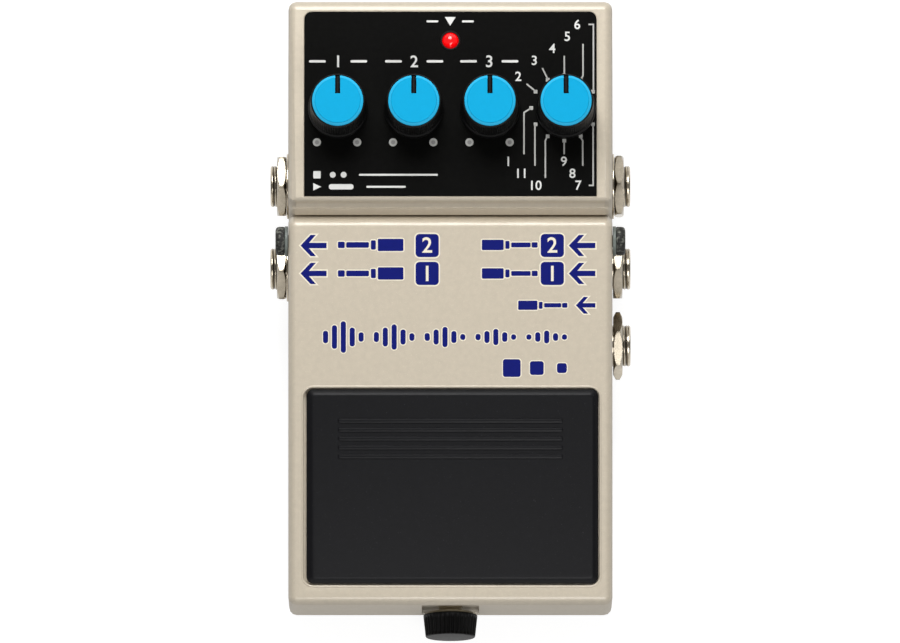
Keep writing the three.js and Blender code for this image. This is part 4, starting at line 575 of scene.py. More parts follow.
def knob_profile():
    outside = rounded([[4.7, 0.0], [6.0, 0.0, 0.15], [6.05, 2.25, 0.2], [5.72, 2.5]], 4)
    flutes = np.column_stack([np.linspace(5.7, 5.5, 12), np.linspace(RIB_START, RIB_END, 12)])
    rim = rounded([[5.5, 11.05], [5.48, 11.4, 0.12], [5.24, 11.4, 0.06], [5.22, 10.65], [0.0, 10.6]], 4)
    inside = np.array([[0.0, 9.0], [4.6, 2.6], [4.6, 0.0]])
    return np.concatenate([outside, flutes, rim, inside, outside[:1]])


def notched_loop(radius, half, end):
    """A circle whose rear side has a notch that reaches in to y = end, as a closed loop from edge to edge."""
    edge = np.arcsin(half / radius)
    arc = polar(radius, np.linspace(np.pi / 2 - edge, np.pi / 2 + edge - 2 * np.pi, 90), 0)[:, :2]
    depth = np.linspace(arc[0, 1], end, 8)
    left = np.column_stack([np.full(8, -half), depth])
    right = np.column_stack([np.full(8, half), depth[::-1]])
    return np.concatenate([arc[1:-1], left, right])


def blue_disc():
    plan = [(CAP_FLAT_RADIUS, CAP_FOOT), (CAP_FLAT_RADIUS, CAP_SHOULDER), (CAP_FLAT_RADIUS - 0.1, CAP_TOP)]
    return stacked([notched_loop(r, NOTCH_HALF, NOTCH_END) for r, _ in plan], [h for _, h in plan])


def disc_edge():
    """The disc's sloping edge: an arc with the notch's gap in it, its section a low wedge."""
    inner = CAP_FLAT_RADIUS + 0.02
    section = np.array([[inner, CAP_FOOT], [CAP_RADIUS, CAP_FOOT], [CAP_RADIUS, 11.5],
                        [CAP_RADIUS - 0.1, 11.6], [inner, CAP_SHOULDER]])
    gap = np.arcsin(NOTCH_HALF / CAP_RADIUS)
    angle = np.linspace(np.pi / 2 + gap, np.pi / 2 - gap + 2 * np.pi, 120)
    points = polar(section[:, 0], angle[:, None], section[:, 1]).reshape(-1, 3)
    size = len(angle), len(section)
    return points, [*grid_faces(*size), *end_faces(*size)]


def pointer_bar():
    loops = [rounded_rectangle(width, 3.4, 0.12, 4) for width in (0.5, 0.5, 0.36)]
    return moved(stacked(loops, [10.6, 11.6, 11.72]), y=POINTER_MIDDLE)


for index, name in enumerate(DIALS):
    place = panel_frame @ shifted(ROW_OFFSET + (index - 1.5) * KNOB_PITCH, -KNOB_SETBACK, KNOB_FOOT)
    body = name + "_dial"
    piece(name + "_knob_body", *lathe(knob_profile(), KNOB_RIBS * 6, rib_ripple), place, body, knob_black,
          "black_plastic", 50, [name + "_knob"])
    piece(name + "_blue_disc", *blue_disc(), place, body, cap_blue, "blue_plastic", 30, [name + "_knob_cap"])
    piece(name + "_disc_edge", *disc_edge(), place, body, cap_edge_highlight, "blue_plastic", 30)
    piece(name + "_pointer", *pointer_bar(), place, body, knob_black, "black_plastic", 30)
print("knobs:", KNOB_RIBS, "ribs each")

# %% [markdown]
# ## Status lamp
# The lamp is a clear red dome in a black collar, on two wire legs that reach the board below.
# The dome is half a circle turned about its axis, on a plain barrel with a flange.

# %% Lamp
LAMP_SETBACK = 8.3
DOME_RADIUS, DOME_RISE = 1.62, 1.2
LEG_SIDE, LEG_APART, LEG_END = 0.6, 1.6, -8.9


def lamp():
    rise = np.linspace(0, np.pi / 2, 12)
    dome = np.column_stack([DOME_RADIUS * np.cos(rise), 0.05 + DOME_RISE * np.sin(rise)])
    barrel = np.array([[0, -3.25], [2.1, -3.25], [2.1, -2.3], [DOME_RADIUS, -2.3]])
    leg = stacked([rounded_rectangle(LEG_SIDE, LEG_SIDE, 0.1, 3)] * 2, [LEG_END, -3.2])
    legs = [moved(leg, x=side * LEG_APART / 2) for side in (1, -1)]
    return together(lathe(np.concatenate([barrel, dome]), 48), *legs)


lamp_place = panel_frame @ shifted(y=-LAMP_SETBACK)
collar = closed(rounded([[1.68, 0.0], [1.68, 0.42, 0.05], [2.02, 0.42, 0.1], [2.02, 0.0]], 4))
piece("lamp_lens", *lamp(), lamp_place, "case", lamp_red, "red_lens", 50, ["status_led"])
piece("lamp_collar", *lathe(collar, 48), lamp_place, "case", knob_black, "black_plastic", 50)

# %% [markdown]
# ## Jacks
# A jack shows three things outside the wall: a thin washer, a hexagonal nut and a threaded barrel.
# The thread is a ripple on the radius that moves along the barrel as it goes round, which is a true helix.
# The nut's radius is the smaller of two: the hexagon's flat and a cone that breaks its corners.

# %% Barrels, nuts and washers
THREAD_PITCH, THREAD_DEPTH = 0.7, 0.16
BARREL_RADIUS, BARREL_NOSE = 4.2, 3.8
NUT_HALF, NUT_THICKNESS = 6.0, 1.87
WASHER_RADIUS, WASHER_THICKNESS = 6.65, 0.46
JACK_HEIGHT = 20.0
BODY_HALF_HEIGHT, BODY_HALF_WIDTH = 6.0, 7.75
BODY_BACK, BODY_FRONT = -28.85, -4.95     # heights are measured outwards from the case's wall
SHOULDER_RADIUS, SHOULDER_FRONT = 4.65, -2.55
BORE_RADIUS, BORE_BACK = 3.2, -27.7
BODY_MARK = 9.0               # rows of the profile with this radius follow the jack's square body
# Side, place, washer, and how far a corner of the nut leans to the front from straight up
JACKS = [("output_b", -1, 23.95, True, 10), ("output_a", -1, 6.85, True, 12.5),
         ("input_b", 1, 23.95, True, 5), ("input_a", 1, 6.85, False, 10), ("tempo", 1, -9.05, False, 45)]


def thread_hollow(angle, height):
    """From 0 on the thread's crest to 1 in its valley. The phase is height over pitch less the turn."""
    phase = 2 * np.pi * height / THREAD_PITCH - angle
    return ripple(phase) * between(height, 0.5, BARREL_NOSE - 0.45, 0.2, 0.15)


def jack_section(angle, height, radius):
    """Radius = the square body's wall where the row is marked, else less the thread's groove."""
    across, up = np.maximum(np.abs(np.sin(angle)), 1e-6), np.maximum(np.abs(np.cos(angle)), 1e-6)
    wall = np.minimum(BODY_HALF_HEIGHT / up, BODY_HALF_WIDTH / across)
    on_barrel = np.abs(radius - BARREL_RADIUS) < 0.1
    groove = THREAD_DEPTH * thread_hollow(angle, height) * on_barrel
    return np.where(radius == BODY_MARK, wall, radius - groove)


def barrel():
    """The square body, the shoulder, the threaded barrel and the open bore as one turned surface."""
    nose = BARREL_NOSE
    threaded = np.column_stack([np.full(72, BARREL_RADIUS), np.linspace(-2.5, nose - 0.3, 72)])
    back = np.array([[0.0, BODY_BACK], [BODY_MARK, BODY_BACK], [BODY_MARK, BODY_FRONT],
                     [SHOULDER_RADIUS, BODY_FRONT], [SHOULDER_RADIUS, SHOULDER_FRONT]])
    mouth = rounded([[BARREL_RADIUS - 0.02, nose - 0.28], [4.0, nose, 0.08], [3.45, nose, 0.1],
                     [BORE_RADIUS, nose - 0.3, 0.05], [BORE_RADIUS, BORE_BACK], [0.0, BORE_BACK]], 4)
    points, faces = lathe(np.concatenate([back, threaded, mouth]), 96, jack_section)
    x, y, z = points.T
    # The third array is painted shade, darkest in the thread's valleys.
    return points, faces, thread_hollow(np.arctan2(y, x), z) * (np.hypot(x, y) > 3.9)


def nut(foot, corner):
    """Radius = the smaller of the hexagon's a / cos(angle to the flat) and a cone at both ends."""
    turn = around(144)
    to_flat = turn % (np.pi / 3) - np.pi / 6
    hexagon = NUT_HALF / np.cos(to_flat)
    share = np.concatenate([np.linspace(0, 0.32, 10), [0.5], np.linspace(0.68, 1, 10)])[:, None]
    cone = NUT_HALF - 0.1 + np.minimum(share, 1 - share) * NUT_THICKNESS * 1.9
    outside = polar(np.minimum(hexagon, cone), turn + corner, foot + NUT_THICKNESS * share)
    bore = polar(BARREL_RADIUS + 0.06, turn + corner, foot + NUT_THICKNESS * np.array([[1], [0]]))
    points = np.concatenate([outside, bore, outside[:1]]).reshape(-1, 3)
    # The third array is painted shade on the hexagon's corners and a painted dark reflection over the chamfer
    # cones.
    near_corner = np.exp(-((np.abs(to_flat) - np.pi / 6) / 0.045) ** 2)
    on_cone = np.clip((hexagon - cone) / 0.06, 0, 1)
    crevice_shade = np.maximum(0.55 * near_corner * (1 - on_cone), 0.45 * on_cone)
    return points, grid_faces(len(share) + 3, len(turn)), np.append(crevice_shade, np.zeros(3 * len(turn)))


def washer(foot, thickness, radius, hole):
    top, edge = foot + thickness, 0.12
    corners = [[hole, foot], [radius, foot, edge], [radius, top, edge], [hole, top]]
    return lathe(closed(rounded(corners, 4)), 72)


def jack_piece(name, place, surface, crisp, stands_for, crevice_shade=None):
    piece(name, *surface, place, "case", nickel, "nickel", crisp, [stands_for], crevice_shade)


for name, side, y, has_washer, lean in JACKS:
    place = out_of_side(side, y, JACK_HEIGHT)
    corner = (180 + lean if side > 0 else -lean) * DEG
    *surface, crevice_shade = barrel()
    jack_piece(name + "_barrel", place, surface, 40, name + "_jack", crevice_shade)
    *surface, crevice_shade = nut(0.6 if has_washer else 0.3, corner)
    jack_piece(name + "_nut", place, surface, 24, name + "_jack_nut", crevice_shade)
    if has_washer:
        surface = washer(0.06, WASHER_THICKNESS, WASHER_RADIUS, 4.3)
        jack_piece(name + "_washer", place, surface, 40, name + "_jack_washer")
print(len(JACKS), "jacks")

# %% [markdown]
# ## Hinge pins
# The treadle turns on two pins whose outer ends are soft black domes over a grey flange.
# Both are turned shapes; the dome's skin is rough, which the cap's own material brings.

# %% Hinge domes
DOME = rounded([[0.0, 0.76], [2.95, 0.76, 0.3], [2.95, 2.62, 0.9], [0.0, 2.65]], 9)
PIN = rounded([[0.0, -8.5], [1.25, -8.5], [1.25, 0.1], [3.05, 0.1, 0.15], [3.05, 0.75, 0.15], [0.0, 0.75]], 5)
for end, side in [("left", -1), ("right", 1)]:
    place = out_of_side(side, hinge_at[1] / MM, hinge_at[2] / MM)
    piece(f"hinge_dome_{end}", *lathe(DOME, 56), place, "case", cap_rubber, "dark_metal", 45)
    piece(f"hinge_pin_{end}_turned", *lathe(PIN, 56), place, "case", flange_grey, "dark_metal", 45,
          [f"hinge_pin_{end}"])
print("hinge pins with", len(DOME), "rows of dome")

# %% [markdown]
# ## Tread rubber
# The rubber is a slab with round corners and a wide sloping edge, in a recess of the treadle.
# Its plan is one loop of points; each level of the slope is the same loop drawn in by its own distance.
# Five low ribs across its rear part give the foot a grip.

# %% The slab and its ribs
TREAD_WIDTH, TREAD_LENGTH, TREAD_SETBACK = 59.1, 39.4, 49.7
TREAD_OFFSET = 0.4            # the rubber lies this far right of the treadle's middle
RECESS_WIDTH, RECESS_LENGTH, RECESS_CORNER, RECESS_OFFSET = 60.55, 40.55, 2.3, 0.2
RIM_BEAD, RIM_SUNK = 0.3, 0.21
TREAD_FOOT = TREADLE_TOP - 1.15
GRIP_COUNT, GRIP_MIDDLE, GRIP_PITCH, GRIP_FOOT = 5, -40, 1.8, 1.9
GRIP_WIDTH, GRIP_LENGTH = 45.6, 1.0
# How far each level is drawn in, and how high it lies
SLAB_LEVELS = [(0.0, 0.0), (0.0, 1.05), (0.1, 1.22), (0.95, 1.86), (1.15, 1.93), (1.4, 1.95)]
GRIP_LEVELS = [(0.0, 0.0), (0.0, 0.12), (0.12, 0.27), (0.3, 0.32)]


def recess_rim():
    """The recess's rounded lip: a small circle carried round its outline, most of it under the surface."""
    loop = rounded_rectangle(RECESS_WIDTH, RECESS_LENGTH, RECESS_CORNER, 12)
    onward = np.roll(loop, -1, 0) - np.roll(loop, 1, 0)
    onward /= np.linalg.norm(onward, axis=1)[:, None]
    outward = np.column_stack([onward[:, 1], -onward[:, 0]])
    angle = around(16)
    ring = loop[:, None] + RIM_BEAD * np.cos(angle)[:, None] * outward[:, None]
    height = np.broadcast_to(TREADLE_TOP - RIM_SUNK + RIM_BEAD * np.sin(angle), ring.shape[:2])
    points = np.concatenate([ring, height[..., None]], -1)
    return closed(points).reshape(-1, 3), grid_faces(len(loop) + 1, len(angle))


slab = drawn_in(TREAD_WIDTH, TREAD_LENGTH, SLAB_LEVELS, 1.4, 0.6, 8, TREAD_FOOT)
rib = drawn_in(GRIP_WIDTH, GRIP_LENGTH, GRIP_LEVELS, 0.49, 1, 7, TREAD_FOOT + GRIP_FOOT)
first = GRIP_MIDDLE - (GRIP_COUNT - 1) / 2 * GRIP_PITCH
ribs = [moved(rib, y=first + i * GRIP_PITCH) for i in range(GRIP_COUNT)]
piece("tread_slab", *moved(slab, x=TREAD_OFFSET, y=-TREAD_SETBACK), treadle_frame, "treadle_body",
      tread_black, "black_rubber", 25, ["tread_rubber"])
piece("tread_recess_rim", *moved(recess_rim(), x=RECESS_OFFSET, y=-TREAD_SETBACK), treadle_frame,
      "treadle_body", pearl_paint, "cream_paint", 60)
piece("tread_grips", *together(*ribs), treadle_frame, "treadle_body", tread_black, "black_rubber", 30)
print("rubber slab of", len(SLAB_LEVELS), "levels with", GRIP_COUNT, "ribs")

# %% [markdown]
# ## Thumbscrew
# The fluted head tapers towards its flat end.
# Its flutes are the knob's ripple again, fewer and deeper; the shank behind it is a plain threaded rod.

# %% Head, shank and washer
SCREW_HEIGHT = 14.2
HEAD_FLUTES, FLUTE_DEPTH = 36, 0.3
HEAD_BORE, BORE_DEPTH = 2.6, 3.2
SHANK_RADIUS, SHANK_PITCH, SHANK_GROOVE = 2.5, 0.8, 0.18
TIP_RADIUS, TIP_LENGTH = 2.0, 2.2
SCREW_PIECES = ["head", "shank", "washer"]
# Where each of them starts and ends along Y
extent = {name: [corner[1] for corner in box_mm("thumbscrew_" + name)] for name in SCREW_PIECES}
head_length, shank_length, washer_length = [high - low for low, high in extent.values()]
towards_rear = Matrix.Rotation(-np.pi / 2, 4, "X")


def on_screw_axis(name):
    """A frame at the front end of one of the screw's pieces, whose Z runs to the rear."""
    return shifted(0, extent[name][0], SCREW_HEIGHT) @ towards_rear


def flute_ripple(angle, height, radius):
    """Round flutes that fade out at the head's end and at its neck."""
    fade = between(height, 0.12, head_length - 0.45, 0.25, 0.25) * (radius > 3)
    return radius - FLUTE_DEPTH * ripple(angle * HEAD_FLUTES) * fade


def screw_thread(angle, height, radius):
    fade = between(height, 3.0, shank_length - 2.3, 0.3, 0.2) * (radius > 2.2)
    return radius - SHANK_GROOVE * ripple(2 * np.pi * height / SHANK_PITCH - angle) * fade


def head_profile():
    end = rounded([[0.0, 0.0], [4.9, 0.0, 0.15], [5.05, 0.2]], 5)
    side_wall = np.column_stack([np.linspace(5.05, 5.5, 14), np.linspace(0.22, head_length - 0.16, 14)])
    neck = rounded([[5.5, head_length - 0.14], [5.44, head_length, 0.06], [HEAD_BORE, head_length]], 5)
    bore = np.array([[HEAD_BORE, head_length - BORE_DEPTH], [0.0, head_length - BORE_DEPTH]])
    return np.concatenate([end, side_wall, neck, bore])


def shank_profile():
    length, start = shank_length, shank_length - TIP_LENGTH
    rod = np.column_stack([np.full(60, SHANK_RADIUS), np.linspace(0.0, start, 60)])
    tip = [[TIP_RADIUS, start], [TIP_RADIUS, length - 0.3], [TIP_RADIUS - 0.3, length], [0.0, length]]
    return np.concatenate([[[0.0, 0.0]], rod, tip])


piece("thumbscrew_fluted_head", *lathe(head_profile(), HEAD_FLUTES * 8, flute_ripple), on_screw_axis("head"),
      "thumbscrew_body", knob_black, "black_plastic", 50, ["thumbscrew_head"])
piece("thumbscrew_threaded_shank", *lathe(shank_profile(), 48, screw_thread), on_screw_axis("shank"),
      "thumbscrew_body", steel_in_recess_shade, "zinc_steel", 45, ["thumbscrew_shank"])
piece("thumbscrew_flat_washer", *washer(0, washer_length, 4.58, 2.62), on_screw_axis("washer"),
      "screw_washer_body", pale_plastic_in_shade, "grey_plastic", 40, ["thumbscrew_washer"])
print("thumbscrew head", round(head_length, 2), "mm, shank", round(shank_length, 2), "mm")

# %% [markdown]
# ## Printing on the panel
# The legends are ink, two hundredths of a millimetre high, so each mark is a very thin closed plate.
# Words and names have no place on this part: plain numbers and simple signs stand where they would be.
# Round dots mark the ends of each dial's travel, and fine lines lead from the mode dial to its numbers.

# %% Ink helpers
INK = 0.02
INK_GAP = 0.005               # between the ink and the face that it lies on
TYPE_WEIGHT = 0.012
font_cache = {}


def plate(loop, height=INK):
    return stacked([np.asarray(loop)] * 2, [0, height])


def circle(radius, x, y):
    return polar(radius, around(24), 0)[:, :2] + [x, y]


def bar(width, height, corner, x, y, steps=4):
    return rounded_rectangle(width, height, corner, steps) + [x, y]


def annulus(outer, inner, x, y):
    return moved(lathe(closed(np.array([[inner, 0], [outer, 0], [outer, INK], [inner, INK]])), 40), x=x, y=y)


def stroke(path, width):
    """A line of even width along a path, with mitred bends, as a thin plate."""
    path = np.asarray(path, float)
    step = np.diff(path, axis=0)
    step /= np.linalg.norm(step, axis=1)[:, None]
    side = np.column_stack([-step[:, 1], step[:, 0]])
    mitre = (side[:-1] + side[1:]) / (1 + np.sum(side[:-1] * side[1:], 1))[:, None]
    normal = np.vstack([side[:1], mitre, side[-1:]])
    left, right = path + normal * width / 2, path - normal * width / 2
    return plate(np.concatenate([right, left[::-1]]))


def number(text, size, x, y):
    """A number in Blender's own plain type, turned into a mesh of triangles and centred on a spot."""
    if text not in font_cache:
        curve = bpy.data.curves.new("number_" + text, "FONT")
        curve.body, curve.size, curve.extrude = text, 1.0, 0.5
        curve.resolution_u, curve.offset = 4, TYPE_WEIGHT
        holder = bpy.data.objects.new("number_holder", curve)
        mesh = bpy.data.meshes.new_from_object(holder)
        points = np.array([vertex.co for vertex in mesh.vertices], float)
        font_cache[text] = points, [list(polygon.vertices) for polygon in mesh.polygons]
        bpy.data.objects.remove(holder)
        bpy.data.curves.remove(curve)
    points, faces = font_cache[text]
    low, high = points.min(0), points.max(0)
    return (points - (low + high) / 2) * [size, size, INK] + [x, y, INK / 2], faces


def print_marks(rows, place, body, slot):
    """One piece for each row of name, marks and ink."""
    for name, marks, ink in rows:
        piece(name, *together(*marks), place, body, ink, slot, 30)


# %% Marks on the panel
ink_frame = panel_frame @ shifted(z=PANEL_TOP + INK_GAP)
# Places as columns and rows of the photograph's pixels
DIAL_COLUMNS, DIAL_SIDES, DIAL_END_ROW = (337.0, 413.0, 489.3), (-20.1, 20.1), 142.5
DIAL_NUMBERS, NUMBER_ROW = [("1", 338), ("2", 414), ("3", 489)], 61.5
LAMP_SIGN, UPPER_SIGNS, LOWER_SIGNS = (450, 21.5), (317, 175), (317, 187)
MODE_DIAL = (563.9, 108.2)
LEADERS = [
    [(564, 56), (564, 74.4)], [(582.7, 44), (582.7, 75.9), (581, 78.5)],
    [(588.3, 24.5), (593.1, 24.5), (593.1, 92.1)], [(542.1, 68.3), (547.3, 79.1)],
    [(526.3, 84.1), (535.4, 91.5)],
    [(530.9, 108.2), (523.7, 112.7), (523.7, 154.4)], [(534.6, 124.7), (534.6, 166.1)],
    [(547, 137), (545, 140.9), (545, 178.2)], [(563.8, 141.6), (563.8, 154.4)],
    [(580, 137), (582.3, 140.9), (582.3, 166.1)], [(592.7, 125), (592.7, 185.6), (588.3, 185.6)],
]
LEADER_NUMBERS = [("4", 552, 48.5), ("5", 567, 36.5), ("6", 577, 24.5), ("3", 534, 60.5), ("2", 518, 76.5),
                  ("1", 508, 161.5), ("11", 521, 173.5), ("10", 536, 185.5), ("9", 563.5, 161.5),
                  ("8", 572, 173.5), ("7", 578, 185.5)]
# The other sizes are millimetres
RING_OUTER, RING_INNER = 0.83, 0.42
DIAL_TYPE, MODE_TYPE = 3.4, 2.7
MODE_DOTS_AWAY, MODE_DOT, MODE_STEPS = 6.7, 0.75, 11

ends, cores, legends = [], [], []
for u in DIAL_COLUMNS:
    for side in DIAL_SIDES:
        x, y = panel_spot(u + side, DIAL_END_ROW)
        ends.append(annulus(RING_OUTER, RING_INNER, x, y))
        cores.append(plate(circle(RING_INNER, x, y)))
for text, u in DIAL_NUMBERS:
    x, y = panel_spot(u, NUMBER_ROW)
    legends.append(number(text, DIAL_TYPE, x, y))
    legends.extend(plate(bar(3.4, 0.5, 0.24, x + side * 4.2, y)) for side in (-1, 1))
# A triangle points at the lamp from between two short rules
x, y = panel_spot(*LAMP_SIGN)
legends.append(plate([[x - 1.1, y + 0.9], [x, y - 0.9], [x + 1.1, y + 0.9]]))
legends.extend(plate(bar(2.4, 0.42, 0.2, x + side * 3.6, y)) for side in (-1, 1))
# Two rows of signs: one square, two dots and a rule, one triangle and two bars
x, y = panel_spot(*UPPER_SIGNS)
legends.append(plate(bar(1.5, 1.5, 0.15, x, y, 3)))
legends.extend(plate(circle(0.6, x + offset, y)) for offset in (3.2, 5.4))
legends.append(plate(bar(16, 0.4, 0.19, x + 16.5, y)))
x, y = panel_spot(*LOWER_SIGNS)
legends.append(plate([[x - 0.75, y - 0.75], [x + 0.85, y], [x - 0.75, y + 0.75]]))
legends.append(plate(bar(5, 1.1, 0.5, x + 4.9, y, 5)))
legends.append(plate(bar(8, 0.4, 0.19, x + 14, y)))
for text, u, v in LEADER_NUMBERS:
    legends.append(number(text, MODE_TYPE, *panel_spot(u, v)))

lines = [stroke([panel_spot(*pixel) for pixel in leader], 0.3) for leader in LEADERS]
for step in range(MODE_STEPS):
    angle = (-30 - 30 * step) * DEG
    x, y = panel_spot(*MODE_DIAL) + MODE_DOTS_AWAY * np.array([np.cos(angle), np.sin(angle)])
    lines.append(plate(bar(MODE_DOT, MODE_DOT, 0.1, x, y, 3)))
print_marks([("panel_legends", legends, white_ink), ("dial_end_rings", ends, grey_ink),
             ("dial_end_cores", cores, dim_ink), ("mode_leaders", lines, grey_ink)], ink_frame, "case",
            "black_panel")
print(len(LEADERS), "leader lines and", len(legends), "legends")

# %% [markdown]
# ## Printing on the treadle
# Arrows and plug signs stand for the jacks, with numbered badges, in navy with a pale outline.
# Below them a row of bars that die away stands for an echo, and three squares follow.
# The pale outline is the same shape drawn larger and laid under the navy one.

# %% Marks on the treadle
mark_frame = treadle_frame @ shifted(z=TREADLE_TOP + INK_GAP)
OUTLINE = 0.01                # the pale outline's height
# Places as columns and rows of the photograph's pixels
MARK_ROWS, SIGN_ROWS = (245.6, 273.5), (245, 273.5)
ARROWS = [(301, 327), (569, 595.5)]     # tip and tail
BADGE_COLUMNS = (427.5, 552.5)
PLUG_SIGNS = [(391, -1, 1.0), (493, 1, 0.85)]     # column, direction and size
TEMPO_ROW, TEMPO_ARROW, TEMPO_PLUG = 305.3, (576, 595.5), (528, 1, 0.75)
ECHO_COLUMN, ECHO_ROW = 326, 337
KEY_COLUMN, KEY_PITCH, KEY_ROW = 512, 25, 368
# Millimetres
PULSE = [0.4, 0.75, 1.0, 0.6, 0.3]        # the heights of one pulse's bars, as shares of the highest
PULSE_HEIGHT, PULSE_DECAY, PULSE_PITCH, BAR_PITCH = 6.4, 0.8, 10.3, 1.8
KEY_SIZES = (3.6, 2.8, 2.0)
halo, navy, cut_out = [], [], []


def outset(loop, distance):
    """Moves every corner of a counter-clockwise loop outwards, so that each side shifts by the distance."""
    loop = np.asarray(loop, float)
    side = np.roll(loop, -1, 0) - loop
    side /= np.linalg.norm(side, axis=1)[:, None]
    outward = np.column_stack([side[:, 1], -side[:, 0]])
    before = np.roll(outward, 1, 0)
    return loop + (outward + before) / (1 + np.sum(outward * before, 1))[:, None] * distance


def outlined(loop, margin):
    """Prints a loop in navy, with a pale margin round it."""
    halo.append(plate(outset(loop, margin), OUTLINE))
    navy.append(plate(loop))


def arrow(columns, row, height, thickness):
    """An open-headed arrow from its tail to its tip on the left, as one loop."""
    tip, tail = [treadle_spot(column, row) for column in columns]
    half, stem = height / 2, thickness / 2
    reach, back = half * 0.95, stem * 2.6
    lower = np.array([[reach, -half], [reach + back * 0.75, -half], [back * 0.55 + stem * 1.7, -stem],
                      [tail[0] - tip[0], -stem]])
    return np.vstack([[[0, 0]], lower, lower[::-1] * [1, -1]]) + tip


def plug_sign(row, column, direction, size):
    """A plug seen from the side: sleeve, collar, shaft and tip along X."""
    x, y = treadle_spot(column, row)
    for width, height, at in [(5.2, 2.5, 0.0), (1.0, 1.9, 3.5), (4.6, 1.15, 6.7), (1.4, 1.3, 10.0)]:
        yield bar(width * size, height * size, 0.25 * size, x + direction * at * size, y)


for v in MARK_ROWS:
    for columns in ARROWS:
        outlined(arrow(columns, v, 4.3, 1.1), 0.28)
    for u in BADGE_COLUMNS:
        outlined(bar(4.7, 4.7, 0.8, *treadle_spot(u, v), 6), 0.28)
for v, text in zip(SIGN_ROWS, "21"):
    for u in BADGE_COLUMNS:
        cut_out.append(moved(number(text, 4.4, *treadle_spot(u, v)), z=INK))
    for sign in PLUG_SIGNS:
        for loop in plug_sign(v, *sign):
            outlined(loop, 0.22)
outlined(arrow(TEMPO_ARROW, TEMPO_ROW, 3.4, 0.9), 0.25)
for loop in plug_sign(TEMPO_ROW, *TEMPO_PLUG):
    outlined(loop, 0.2)

# The echo: one pulse of bars, repeated with less height each time
left, base = treadle_spot(ECHO_COLUMN, ECHO_ROW)
for repeat in range(5):
    for i, share in enumerate(PULSE):
        height = max(PULSE_HEIGHT * share * PULSE_DECAY ** repeat, 1.1)
        outlined(bar(1.05, height, 0.5, left + repeat * PULSE_PITCH + i * BAR_PITCH, base, 5), 0.2)
for i, size in enumerate(KEY_SIZES):
    outlined(bar(size, size, 0.5, *treadle_spot(KEY_COLUMN + i * KEY_PITCH, KEY_ROW), 5), 0.2)
print_marks([("treadle_ink_outlines", halo, pale_ink), ("treadle_ink", navy, navy_ink),
             ("badge_numbers", cut_out, pale_ink)], mark_frame, "treadle_body", "cream_paint")
print(len(navy), "navy marks on the treadle")

# %% [markdown]
# ## Inside the treadle's bay
# With the treadle open one sees the return spring, the switch's cap, the battery and its leads.
# The spring and the rubber cap give way under the foot, so both stop short of the treadle.
# A coil is a circle swept along a helix; the leads are the same sweep along a smooth curve.

# %% Swept tubes
PRESS_ROOM = 0.95             # the treadle comes down this far over the spring and the cap
SPRING_TURNS, SPRING_WIRE = 6, 0.55
COIL_X, COIL_Y, COIL_RADIUS = -5, -14.05, 5.4
MIDDLE_CLOSING = 0.07         # draws the middle turns nearer to each other


def sweep(path, radius, columns=12):
    """A round tube along a path: at each point a circle in the plane square to the path."""
    path = np.asarray(path, float)
    along = np.gradient(path, axis=0)
    along /= np.linalg.norm(along, axis=1)[:, None]
    side = np.zeros_like(path)
    side[0] = np.cross(along[0], [0.3, 1, 0.2])
    for i in range(len(path)):
        carried = side[max(i - 1, 0)]
        side[i] = carried - along[i] * np.dot(carried, along[i])
        side[i] /= np.linalg.norm(side[i])
    angle, other = around(columns)[:, None], np.cross(along, side)
    ring = path[:, None] + radius * (np.cos(angle) * side[:, None] + np.sin(angle) * other[:, None])
    return ring.reshape(-1, 3), [*grid_faces(len(path), columns), *end_faces(len(path), columns)]


low, high = box_mm("pedal_spring")
t = np.linspace(0, 1, 400)
turn = 2 * np.pi * SPRING_TURNS * t
# The rise is slower in the middle than at the ends, as in a coil that is pressed a little
rise = t + MIDDLE_CLOSING * np.sin(2 * np.pi * t)
rise = (rise - rise.min()) / (rise.max() - rise.min())
travel = high[2] - low[2] - 2 * SPRING_WIRE - PRESS_ROOM
coil = polar(COIL_RADIUS, turn, low[2] + SPRING_WIRE + rise * travel)
piece("return_spring", *sweep(coil + [COIL_X, COIL_Y, 0], SPRING_WIRE), UNTURNED, "case", spring_steel,
      "spring_steel", 60, ["pedal_spring"])

low, high = box_mm("switch_cap")
middle = (low + high) / 2
cap_radius, cap_height = (high[0] - low[0]) / 2, high[2] - low[2] - PRESS_ROOM
cap_profile = rounded([[0, 0], [cap_radius, 0, 0.15], [cap_radius, cap_height, 0.9], [0, cap_height]], 7)
piece("switch_rubber_cap", *lathe(cap_profile, 48), shifted(middle[0], middle[1], low[2]), "case", snap_vinyl,
      slot_of["switch_cap"], 50, ["switch_cap"])
print("spring of", SPRING_TURNS, "turns, cap of", round(cap_radius, 2), "by", round(cap_height, 2), "mm")

# %% [markdown]
# ## Battery, snap and leads
# The battery lies across the bay: a sheet-metal jacket with a rolled rim at each end and a bright band.
# Its snap is a soft black cap over the two terminals, and two thin leads run from it to the main board.
# The jacket is a rounded rectangle carried along the battery, drawn in and out where the rims are rolled.

# %% The battery and what it plugs into
TERMINAL_REACH, TERMINAL_APART = 2.3, 12.7
BATTERY_CORNER, BAND_SHARE = 3, 0.3
# How far each level of a rolled rim is drawn in, and how far it lies from the battery's end
RIM = [(0.9, 0.5), (0.9, 0.15), (0.45, 0.0), (0.1, 0.15), (0.05, 0.5)]
JACKET_INSET = 0.3
along_x = Matrix(((0, 0, 1, 0), (1, 0, 0, 0), (0, 1, 0, 0), (0, 0, 0, 1)))
battery_low, battery_high = box_mm("battery")
battery_middle, battery_size = (battery_low + battery_high) / 2, battery_high - battery_low


def on_battery(x):
    """A frame whose Z runs along the battery from x, with X to the rear and Y up."""
    return shifted(x, battery_middle[1], battery_middle[2]) @ along_x


def jacket(levels):
    return drawn_in(battery_size[1], battery_size[2], levels, BATTERY_CORNER, 0.5, 8)


